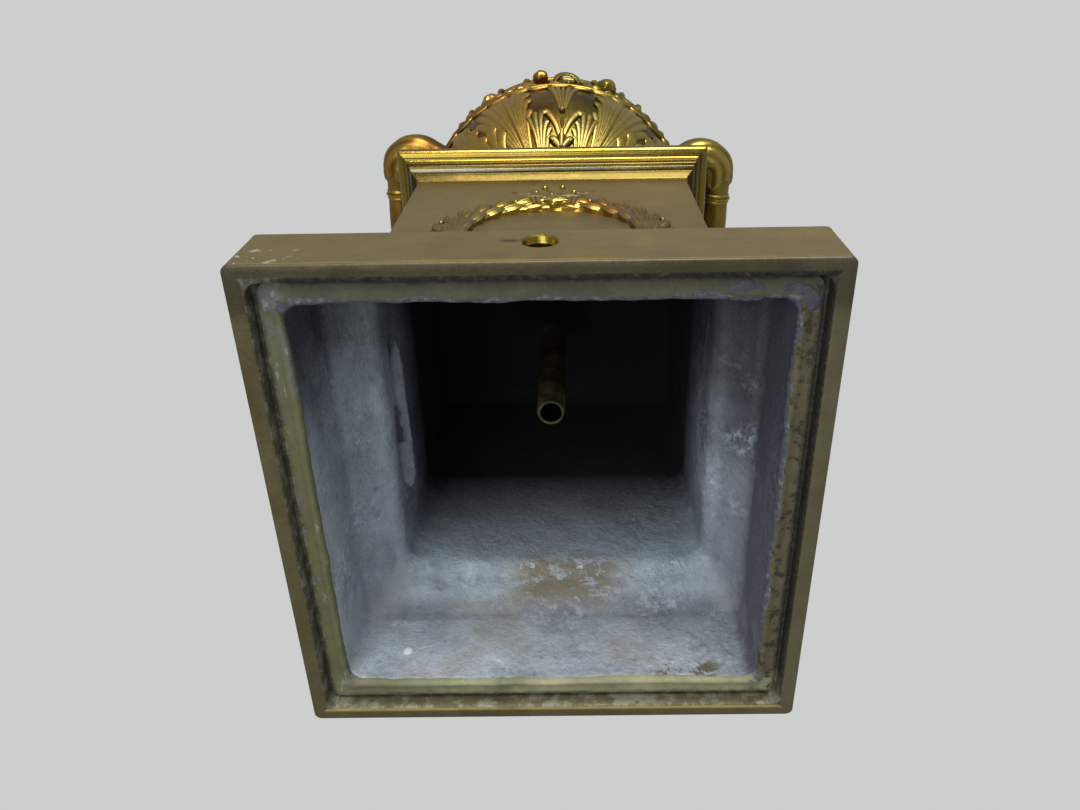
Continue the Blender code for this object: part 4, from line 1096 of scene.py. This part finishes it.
CRUMPLED = (
    (((33.0, 0.38), (32.0, 0.49), (30.2, 0.575), (28.0, 0.600)), 0.003705),
    (((34.0, 0.38), (34.3, 0.52), (34.6, 0.63), (32.6, 0.685)), 0.0039),
    (((36.0, 0.38), (38.0, 0.50), (40.6, 0.60), (38.8, 0.655)), 0.00429),
    (((37.0, 0.38), (40.6, 0.55), (43.8, 0.70), (41.2, 0.765)), 0.004485),
    (((38.0, 0.38), (43.0, 0.60), (47.4, 0.78), (44.6, 0.855)), 0.00468),
    (((40.0, 0.38), (46.0, 0.60), (51.0, 0.80), (49.6, 0.905)), 0.00468),
    (((42.0, 0.38), (49.0, 0.56), (55.0, 0.72), (56.0, 0.820)), 0.00468),
    (((44.0, 0.38), (52.0, 0.52), (59.0, 0.62), (61.0, 0.700)), 0.00429),
)


def front_ornament(shape, facing):
    """The lyre-shaped stems, lily and leaves in the middle of one face of the bowl."""
    c = facing + TWIST
    for side in (-1, 1):
        tone = WARM if facing == 0 and side < 0 else OLIVE

        def turned(marks):
            return [(c + side * bearing, t) for bearing, t in marks]

        for marks, half in SMALL_FAN:
            finger(shape, turned(marks), half, 0.0009, PALE, 0.36, 0.0007)
        # Broad stem that bends over at its head
        stem = turned([(0.7, 0.43), (1.4, 0.50), (3.0, 0.565), (5.3, 0.625), (7.4, 0.660), (8.8, 0.640)])
        finger(shape, stem, 0.0023, 0.0011, tone, 0.35, 0.0010)
        # Side lobe of the calyx
        finger(shape, turned([(0.6, 0.42), (2.6, 0.445), (4.2, 0.462), (5.4, 0.452)]), 0.0026, 0.0018,
               PALE, 0.5, 0.0014)
        # Petals of the lily
        for start, end, high, half in ((0.6, 2.9, 1.0, 0.0018), (1.2, 5.8, 0.97, 0.0021)):
            petal = turned([(start, 0.690), (start + (end - start) * 0.26, 0.79),
                            (start + (end - start) * 0.62, 0.90), (end, high)])
            finger(shape, petal, half, 0.0012, tone, 0.25, -0.0001)
        for marks, half in FLAME:
            finger(shape, turned(marks), half, 0.0011, tone, 0.32, 0.0004)
        for i, (bearing, t) in enumerate(FLUTE_ENDS):
            start = 19.8 + 0.7 * i
            flute = turned([(start, 0.38), (start + (bearing - start) * 0.34, 0.38 + (t - 0.38) * 0.36),
                            (start + (bearing - start) * 0.70, 0.38 + (t - 0.38) * 0.72), (bearing, t)])
            finger(shape, flute, 0.0032, 0.0008, tone, 0.16, 0.0)
        for marks, half in CRUMPLED:
            finger(shape, turned(marks), half, 0.0012, tone, 0.42, 0.0004)
    finger(shape, [(c, 0.42), (c, 0.46), (c, 0.496)], 0.0019, 0.0020, PALE, 0.7, 0.0016)
    finger(shape, [(c, 0.70), (c, 0.80), (c, 0.90), (c, 0.985)], 0.0012, 0.0008, OLIVE, 0.3)
    bowl_ridge(shape, [(c, 0.545), (c, 0.585), (c, 0.635)], swelling(0.0011, 0.05, 0.97),
               swelling(0.0013, 0.05, 0.97), "leaf", 0.0, 8, 12, OLIVE)
    spot, normal = on_bowl(c - 0.2, 0.672, 0.0010)
    shape.ball(spot, (0.0016, 0.0018), normal, PALE, steps=18, rows=10)


def urn_leaves_shape():
    """All the leaves of the bowl and the scalloped bead round its rim."""
    shape = Shape()
    for facing in (0, 180):
        front_ornament(shape, facing)
    for facing in (90, 270):
        spray(shape, facing, 0.32, 0.880, 23.0, 13, 0.0030, 0.0014, OLIVE)
        spray(shape, facing, 0.32, 0.640, 15.0, 9, 0.0025, 0.0014, OLIVE, 0.0014)
    # Long plain leaves that clasp the bottom of the bowl
    for i in range(16):
        bearing = TWIST + 11.25 + i * 22.5
        bowl_ridge(shape, [(bearing, 0.02), (bearing, 0.14), (bearing, 0.28), (bearing, 0.37)],
                   lambda s: 0.0022 + 0.0062 * s if s < 0.7 else 0.0066 * tip(s, 0.7),
                   lambda s: 0.0012 + 0.0010 * s, "leaf", 0.0, 8, 14, OLIVE)
    # Scalloped bead round the rim
    for i in range(40):
        bearing = i * 9.0 + 2.0 + 1.6 * wander((i, 0, 0), 0.9, 2.0)
        jog = wander((i, 0, 0), 0.7, 5.0)
        drop = 0.985 - 0.040 * (0.5 + 0.5 * jog) * (1 if i % 4 else 0.3)
        marks = [(bearing - 5.2, 1.0), (bearing - 3.0, drop), (bearing + 3.0, drop), (bearing + 5.2, 1.0)]
        bowl_ridge(shape, marks, lambda s: 0.0009, lambda s: 0.0013, "round", 0.0004, 6, 14,
                   PALE if (i * 7) % 5 < 2 else OLIVE)
    return shape


def on_frieze(bearing, level, height=0.0):
    """Point and outward normal on the frieze; bearing in degrees from the front."""
    flat = outward(bearing)
    return flat * (FRIEZE_RADIUS + height) + UP * (URN_BASE + level), flat


def garland_shape():
    """Blooms and leaves hung in swags round the frieze, and the ribbon loops."""
    shape = Shape()
    hang = BOWL_RIM + FRIEZE_HEIGHT * 0.68
    for corner in range(4):
        for i in range(17):
            share = 0.05 + 0.90 * i / 16
            bearing = (corner + share) * 90 + TWIST
            level = hang - 0.012 * 4 * share * (1 - share)
            size = 0.0028 + 0.0020 * math.sin(math.pi * share)
            spot, normal = on_frieze(bearing, level, size * 0.20)
            petals = 5 if i % 2 else 0
            shape.ball(spot, (size, size * 0.9), normal, PALE if i % 3 == 1 else OLIVE, petals,
                       18 if petals else 12, 8, i)
            for side in (-1, 1):
                path = []
                for s in steps_of(8):
                    across = bearing + (1.2 + 2.4 * s) * (1 if i % 2 else -1)
                    path.append(on_frieze(across, level + side * (size * 0.7 + 0.0052 * s),
                                          0.0004 + 0.0010 * math.sin(math.pi * s)))
                shape.ridge(path, swelling(0.0018, 0.1, 0.97), swelling(0.0011), "leaf", 8, 0.0012, OLIVE)
    # Ribbon loops that stand out level, with the blooms beside them
    level = BOWL_RIM + FRIEZE_HEIGHT * 0.55
    for facing in (0, 180):
        centre, normal = on_frieze(facing + 4.8, level, 0.0005)
        side = Vector((-normal.y, normal.x, 0))
        rings, levels = [], []
        for i in range(29):
            angle = math.radians(-14 + 208 * i / 28)
            run = side * -math.cos(angle) + normal * math.sin(angle)
            middle = centre + side * -0.0072 * math.cos(angle) + normal * 0.0064 * math.sin(angle)
            thick = 0.0012 + 0.0003 * math.sin(angle * 3)
            tall = 0.0034 + 0.0008 * math.sin(angle * 2 + 0.6)
            ring, heights = [], []
            for roll in turns(14):
                lift = math.sin(roll) * tall + 0.0012 * math.sin(angle * 2)
                ring.append(middle + run * (thick * math.cos(roll)) + UP * lift)
                heights.append(0.45 + 0.45 * abs(math.sin(roll)))
            rings.append(ring)
            levels.append(heights)
        shape.loft(rings, levels, OLIVE)
        for bearing, radius, stand in ((-6.4, 0.0042, 0.0052), (22.5, 0.0055, 0.0040),
                                       (-31.0, 0.0060, 0.0008)):
            spot, normal = on_frieze(facing + bearing, level, stand)
            shape.ball(spot, (radius, radius), normal, OLIVE, 5, 30, 14, bearing)
        for bearing, radius, stand in ((-12.5, 0.0068, 0.0012), (-1.0, 0.0060, 0.0008),
                                       (12.5, 0.0068, 0.0012), (-20.5, 0.0062, 0.0002),
                                       (30.0, 0.0060, 0.0002)):
            spot, normal = on_frieze(facing + bearing, level, stand)
            shape.ball(spot, (radius, 0.0030), normal, OLIVE, 5, 30, 12, bearing + 3)
        for bearing, rise, turn in ((-10, 0.004, -1), (-2, 0.006, 1), (14, 0.004, 1), (27, 0.003, 1),
                                    (-22, 0.003, -1), (-38, 0.002, -1), (36, 0.002, 1), (9, -0.006, 1)):
            path = [on_frieze(facing + bearing + turn * 5.5 * s, level + rise - 0.004 * s ** 2,
                              0.0002 + 0.0044 * math.sin(math.pi * s)) for s in steps_of(10)]
            shape.ridge(path, swelling(0.0034, 0.1, 0.97), swelling(0.0014), "leaf", 8, 0.0030, OLIVE)
    return shape


def moulding_path(bearing, centre, radii, start, end, steps):
    """Spots and normals up a round moulding of the urn, from one angle of its section to another."""
    flat = outward(bearing)
    path = []
    for s in steps_of(steps):
        angle = math.radians(start + (end - start) * s)
        spot = flat * (centre[0] + radii[0] * math.cos(angle))
        spot += UP * (centre[1] + radii[1] * math.sin(angle))
        normal = (flat * (math.cos(angle) / radii[0]) + UP * (math.sin(angle) / radii[1])).normalized()
        path.append((spot, normal))
    return path


def neck_shape():
    """Leaf tips round the shoulder, a beaded lip and flutes round the foot."""
    shape = Shape()
    shoulder = URN_BASE + BOWL_RIM + FRIEZE_HEIGHT

    def leaf_width(s):
        if s < 0.7:
            return 0.0042 + 0.0034 * s
        return 0.0066 * math.sqrt(max(0.01, 1 - ((s - 0.7) / 0.31) ** 2))

    for i in range(24):
        path = moulding_path(i * 15 + TWIST, (NECK_RADIUS, shoulder), NECK_SWEEP, 76, 18, 12)
        shape.ridge(path, leaf_width, lambda s: 0.0009 + 0.0006 * s, "leaf", 8, 0.0010)
    mouth = shoulder + NECK_SWEEP[1] + NECK_HEIGHT
    for i in range(72):
        flat = outward(i * 5)
        shape.ball(flat * (MOUTH_RADIUS - 0.0016) + UP * (mouth - 0.0038), (0.0019, 0.0016),
                   flat - UP * 0.8, steps=10, rows=6, seed=i)
    for i in range(40):
        path = moulding_path(i * 9, (FOOT_RADIUS - 0.0046, URN_BASE + 0.0078), (0.004, 0.004), -62, 68, 8)
        shape.ridge(path, swelling(0.0030, 0.2, 0.8), lambda s: 0.0005, "round", 6, 0.0008)
    return shape


def handle_path(t):
    """Middle line of the right handle in plan and its radius; t runs from -1 to 1."""
    line = HANDLE_REACH - GRIP_RADIUS
    side = -1 if t < 0 else 1
    if abs(t) <= GRIP_SHARE:
        return Vector((line, t / GRIP_SHARE * GRIP_HALF_LENGTH)), GRIP_RADIUS
    middle = Vector((SHOULDER_REACH - SHOULDER_BEND, BRANCH_SPREAD - SHOULDER_BEND))
    start = Vector((line, GRIP_HALF_LENGTH))
    corner = Vector((SHOULDER_REACH, middle.y))
    lead = (corner - start).length
    full_turn = math.radians(SHOULDER_TURN)
    round_length = SHOULDER_BEND * full_turn
    gone = (abs(t) - GRIP_SHARE) / (1 - GRIP_SHARE) * (lead + round_length + BRANCH_TAIL)
    turn = min(max((gone - lead) / SHOULDER_BEND, 0.0), full_turn)
    tail = max(gone - lead - round_length, 0.0)
    spot = middle + Vector((math.cos(turn), math.sin(turn))) * SHOULDER_BEND
    spot += Vector((-math.sin(turn), math.cos(turn))) * tail
    if gone < lead:
        spot = start.lerp(corner, gone / lead)
    swelled = min(1.0, gone / SWELL_LENGTH)
    return Vector((spot.x, side * spot.y)), GRIP_RADIUS + (BRANCH_RADIUS - GRIP_RADIUS) * swelled


def handle_shape(mirror):
    """One cast handle: grip, beaded collars and leaf-covered branches."""
    shape = Shape()
    sides = 60
    steps = 230
    rings, levels = [], []
    collar = COLLAR_OFFSET / GRIP_HALF_LENGTH * GRIP_SHARE
    spin = Matrix.Rotation(math.radians(HANDLE_TURN + (180 if mirror else 0)), 3, "Z")
    for i in range(steps + 1):
        t = -1 + 2 * i / steps
        spot, radius = handle_path(t)
        ahead = handle_path(min(t + 0.01, 1.0))[0] - handle_path(max(t - 0.01, -1.0))[0]
        run = ahead.normalized()
        out = Vector((run.y, -run.x))
        along = abs(t)
        if along < collar:
            radius *= 0.93 + 0.07 * math.cos(math.pi * 0.5 * along / collar)
        elif along < 0.44:
            radius *= 0.95 + 0.05 * smooth_step((along - collar) / (0.44 - collar))
        ring, level = [], []
        for roll in turns(sides):
            # The stand level of each point is painted by the gilt: painted highlight on the beads, the
            # leaf's edge and its flute crests, painted shade in the flutes and just below the leaf's edge
            reach, stand = radius, 0.42
            # Collar of three beads
            for shift, size in ((0.0, 0.0014), (-0.030, 0.0006), (0.030, 0.0006)):
                gap = (along - collar - shift) / 0.013
                if abs(gap) < 1:
                    reach += size * math.sqrt(1 - gap * gap)
                    stand = 0.75
            # Leaf with pointed tips towards the collar, fluted along its length
            edge = 0.370 + 0.075 * abs(((roll / (2 * math.pi) * 3 + 0.5) % 1.0) * 2 - 1)
            over = (along - edge) / 0.018
            if over > 0:
                cover = smooth_step(over)
                flute = abs(math.sin(roll * 4.5 + 0.9 * math.sin(along * 9)))
                fade = 1.0 - 0.65 * smooth_step((along - 0.55) / 0.2)
                vein = abs(math.sin(roll * 3 + along * 26)) ** 3 * 0.0003
                reach += cover * (0.0003 + (0.0009 * flute ** 0.7 + vein) * fade)
                stand = 0.12 + 0.70 * (1 - fade) * 0.4 + 0.62 * flute * fade if over > 0.4 else 0.95
            elif over > -0.35:
                stand = 0.10
            z = URN_BASE + HANDLE_HEIGHT + reach * math.sin(roll)
            point = spin @ Vector((spot.x + out.x * reach * math.cos(roll),
                                   spot.y + out.y * reach * math.cos(roll), z))
            # Keep the root inside the urn's wall
            if z - URN_BASE < BOWL_RIM:
                rise = (URN_BASE + BOWL_RIM - z) / (BOWL_RIM - BOWL_START)
                angle = math.degrees(math.acos(min(1.0, rise * math.cos(math.radians(BOWL_FIRST_ANGLE)))))
                limit = bowl_curve(max(0.0, (angle - BOWL_FIRST_ANGLE) / BOWL_SWEEP))[0]
            else:
                limit = FRIEZE_RADIUS
            far = math.hypot(point.x, point.y)
            if far < limit - 0.0016:
                point.x *= (limit - 0.0016) / far
                point.y *= (limit - 0.0016) / far
            ring.append(point)
            level.append(stand)
        rings.append(ring)
        levels.append(level)
    shape.loft(rings, levels)
    return shape


def pipe_shape():
    """Threaded end and plain length of the pipe, open through its middle."""
    shape = Shape()
    steps = 48
    top = URN_BASE + 0.0395
    profile = [(PIPE_BORE, top), (PIPE_RADIUS, top)]
    height = PIPE_BOTTOM + 0.016
    while height > PIPE_BOTTOM + 0.0012:
        profile += [(PIPE_RADIUS, height), (PIPE_RADIUS - 0.00035, height - 0.0005)]
        height -= 0.0010
    profile += [(PIPE_RADIUS - 0.0001, PIPE_BOTTOM + 0.0006), (PIPE_RADIUS - 0.0005, PIPE_BOTTOM),
                (PIPE_BORE + 0.0003, PIPE_BOTTOM), (PIPE_BORE, PIPE_BOTTOM + 0.0004)]
    rings = [[Vector((r * math.cos(a), r * math.sin(a), z)) for a in turns(steps)] for r, z in profile]
    # The bore gets relief 0, which the brass paints black as shade
    levels = [[0.0 if r < PIPE_BORE + 0.0002 else 0.5] * steps for r, z in profile]
    shape.loft(rings, levels, hoop=True)
    return shape


# Torn flange at the left of the neck: places along it with its inner reach, free edge and height
FLANGE = (
    (-0.0330, 0.0030, 0.0036, 0.0600), (-0.0270, 0.0010, 0.0044, 0.0600),
    (-0.0200, -0.0012, 0.0048, 0.0596), (-0.0120, -0.0012, 0.0050, 0.0590),
    (-0.0085, 0.0006, 0.0049, 0.0588), (-0.0050, 0.0024, 0.0051, 0.0586),
    (-0.0010, 0.0020, 0.0053, 0.0584), (0.0035, 0.0027, 0.0056, 0.0582),
    (0.0060, 0.0031, 0.0058, 0.0580), (0.0080, -0.0010, 0.0054, 0.0580),
    (0.0140, -0.0010, 0.0056, 0.0576), (0.0190, 0.0002, 0.0056, 0.0572),
    (0.0225, 0.0012, 0.0052, 0.0570), (0.0245, 0.0026, 0.0044, 0.0570),
)

# Drops of solder on the ledge: x and y, half width and thickness
SOLDER = (
    (0.0700, -0.0668, 0.0033, 0.00054), (0.0688, -0.0682, 0.00286, 0.00054),
    (0.0668, -0.0690, 0.00264, 0.00042), (0.0646, -0.0694, 0.00198, 0.00036),
    (0.0688, -0.0642, 0.00143, 0.00048), (0.0686, -0.0622, 0.00121, 0.00048),
    (0.0687, -0.0604, 0.00132, 0.00048), (0.0685, -0.0585, 0.0011, 0.00048),
    (0.0687, -0.0568, 0.00132, 0.00048), (0.0684, -0.0550, 0.00121, 0.00042),
    (0.0560, -0.0694, 0.00264, 0.00036), (0.0536, -0.0698, 0.00308, 0.00036),
    (0.0508, -0.0694, 0.00242, 0.00036), (0.0420, -0.0688, 0.00132, 0.00036),
)


def flash_shape():
    """Torn flange at the left of the neck, thin flash at the right, and drops of solder."""
    shape = Shape()
    rings, levels = [], []
    steps = 90
    for i in range(steps + 1):
        at = i / steps * (len(FLANGE) - 1)
        k = min(int(at), len(FLANGE) - 2)
        f = smooth_step(at - k)
        shares = (at - k, f, f, at - k)
        y, root, free, z = [a + (b - a) * share for a, b, share in zip(FLANGE[k], FLANGE[k + 1], shares)]
        ring = []
        for share, lift in ((0.0, 0.0), (0.33, -0.0005), (0.66, -0.0006), (0.94, -0.0002), (1.0, 0.0004),
                            (0.94, 0.0010), (0.5, 0.0010), (0.0, 0.0010)):
            reach = root + (free - root) * share + 0.0003 * wander((y * 300, share, 0), 1.0)
            ring.append(Vector((-NECK_HALF - 0.0006 + reach, y, z + lift)))
        rings.append([p + noise.noise_vector(p * 300) * 0.0003 for p in ring])
        levels.append([0.2] * len(ring))
    shape.loft(rings, levels)
    rings, levels = [], []
    for s in steps_of(60):
        y = -0.040 + 0.052 * s
        reach = 0.0016 * math.sin(math.pi * s) ** 0.5 * (1 + 0.6 * wander((s * 11, 4.0, 0), 1.0))
        ring = [Vector((NECK_HALF + 0.0008, y, 0.0600)), Vector((NECK_HALF - reach, y, 0.0590)),
                Vector((NECK_HALF - reach - 0.0003, y, 0.0598)), Vector((NECK_HALF + 0.0008, y, 0.0612))]
        rings.append([p + noise.noise_vector(p * 240) * 0.0003 for p in ring])
        levels.append([0.2] * 4)
    shape.loft(rings, levels)
    down = Vector((0.1, 0, -1))
    for x, y, wide, thick in SOLDER:
        shape.ball(Vector((x, y, RIM_DEPTH - 0.0001)), (wide, thick), down, steps=22, rows=10, seed=x * 900)
    return shape


def blob_shape():
    """Drop of white paint on the back wall of the hollow."""
    shape = Shape()
    shape.ball(Vector((-0.0503, MOUTH_HALF - 0.0004, 0.0185)), (0.0018, 0.0009), Vector((0, -1, 0)),
               steps=16)
    return shape


def white_drip():
    """White paint, slightly uneven."""
    paint = Paint("white_drip")
    paint.colour = paint.ramp(paint.noise(400.0, 3.0, 0.5), [(0.3, (0.55, 0.60, 0.58)),
                                                             (0.7, (0.72, 0.76, 0.74))])
    return paint.finish(0.6, 0.0, paint.bump(paint.noise(500.0), 0.0002))


def add_camera():
    data = bpy.data.cameras.new("camera")
    data.lens = LENS
    data.sensor_width = SENSOR
    data.sensor_fit = "HORIZONTAL"
    data.shift_x = SHIFT_X
    data.shift_y = SHIFT_Y
    data.clip_start = 0.01
    data.clip_end = 20.0
    item = add_object("camera", data)
    turn = Matrix((CAMERA_RIGHT, CAMERA_UP, CAMERA_BACK)).transposed().to_4x4()
    item.matrix_world = Matrix.Translation(CAMERA_PLACE) @ turn
    bpy.context.scene.camera = item


def add_light(name, place, target, size, power, colour):
    data = bpy.data.lights.new(name, "AREA")
    data.size = size
    data.energy = power
    data.color = colour
    item = add_object(name, data)
    item.location = place
    aim = Vector(target) - Vector(place)
    item.rotation_euler = aim.to_track_quat("-Z", "Y").to_euler()
    item.visible_camera = False


def add_world():
    """Pale paper all round; what lights the urn is dimmer than what shows behind it."""
    world = bpy.data.worlds.new("studio")
    world.use_nodes = True
    nodes, links = world.node_tree.nodes, world.node_tree.links
    back = nodes["Background"]
    back.inputs["Color"].default_value = (0.61, 0.62, 0.615, 1.0)
    back.inputs["Strength"].default_value = 1.0
    dim = nodes.new("ShaderNodeBackground")
    dim.inputs["Color"].default_value = (0.60, 0.63, 0.66, 1.0)
    dim.inputs["Strength"].default_value = 0.55
    seen = nodes.new("ShaderNodeLightPath").outputs["Is Camera Ray"]
    blend = nodes.new("ShaderNodeMixShader")
    links.new(seen, blend.inputs[0])
    links.new(dim.outputs[0], blend.inputs[1])
    links.new(back.outputs[0], blend.inputs[2])
    links.new(blend.outputs[0], nodes["World Output"].inputs["Surface"])
    bpy.context.scene.world = world


def add_floor():
    size = 3.0
    mesh = bpy.data.meshes.new("floor")
    mesh.from_pydata([(-size, -size, 0), (size, -size, 0), (size, size, 0), (-size, size, 0)], [],
                     [(0, 1, 2, 3)])
    mesh.materials.append(floor_paper())
    item = add_object("floor", mesh)
    item.visible_shadow = False
    item.visible_diffuse = False
    item.visible_glossy = False


bright = cornice_gilt("cornice_gilt", (0.062, 0.044, 0.010), (0.245, 0.168, 0.027),
                      (0.350, 0.255, 0.049), (0.17, 0.27),
                      (0.17, 0.09, 0.02), 0.40)
pale = gilt("pale_gilt", (0.030, 0.020, 0.004), (0.170, 0.119, 0.027), (0.255, 0.184, 0.050),
            (0.30, 0.42),
            (0.20, 0.12, 0.03), 0.20)
warm = gilt("warm_gilt", (0.032, 0.016, 0.004), (0.260, 0.140, 0.024), (0.440, 0.275, 0.058),
            (0.28, 0.42),
            (0.20, 0.065, 0.018), 0.50)
olive = gilt("olive_gilt", (0.028, 0.019, 0.004), (0.195, 0.135, 0.024), (0.420, 0.310, 0.072),
             (0.26, 0.40),
             (0.11, 0.065, 0.015), 0.40, (1.15, 0.82, 0.75))
handle_olive = gilt("handle_olive", (0.040, 0.028, 0.007), (0.290, 0.205, 0.040), (0.480, 0.360, 0.090),
                    (0.26, 0.42),
                    (0.12, 0.075, 0.025), 0.40)
inside = gilt("inside_gilt", (0.10, 0.08, 0.04), (0.24, 0.18, 0.08), (0.40, 0.30, 0.12), (0.40, 0.60))
satin = satin_gilt()
rim = rim_gilt()
zinc = zinc_casting()

pedestal = pedestal_shape().build("pedestal_skin", [satin, bright, rim, zinc], "pedestal_gilt",
                                  "pedestal", 50)
cut_cord_hole(pedestal)
wreath_shape().build("die_wreath", [wreath_gilt(), bright], "pedestal_gilt")
flash_shape().build("casting_flash", [zinc], "pedestal_gilt")
blob_shape().build("white_spot", [white_drip()], "pedestal_gilt")
pipe_shape().build("pipe_tube", [pipe_brass()], "pipe_brass", "lamp_pipe")
urn_shape().build("urn_skin", [olive, inside], "urn_gilt", "urn_body")
urn_leaves_shape().build("bowl_acanthus", [pale, warm, olive], "urn_gilt")
garland_shape().build("frieze_garland", [pale, warm, olive], "urn_gilt")
neck_shape().build("neck_trim", [olive], "urn_gilt")
handle_shape(True).build("handle_left_skin", [warm], "handle_gilt", "handle_left", 60)
handle_shape(False).build("handle_right_skin", [handle_olive], "handle_gilt", "handle_right", 60)

add_camera()
add_world()
add_floor()
add_light("key", (0.10, -1.15, -0.05), (0, 0, 0.12), 0.6, 16.0, (1.0, 0.99, 0.97))
add_light("fill", (-0.35, -0.60, -0.95), (0, 0, 0.1), 0.8, 7.0, (0.97, 0.99, 1.0))
bpy.context.scene.view_settings.view_transform = "Standard"
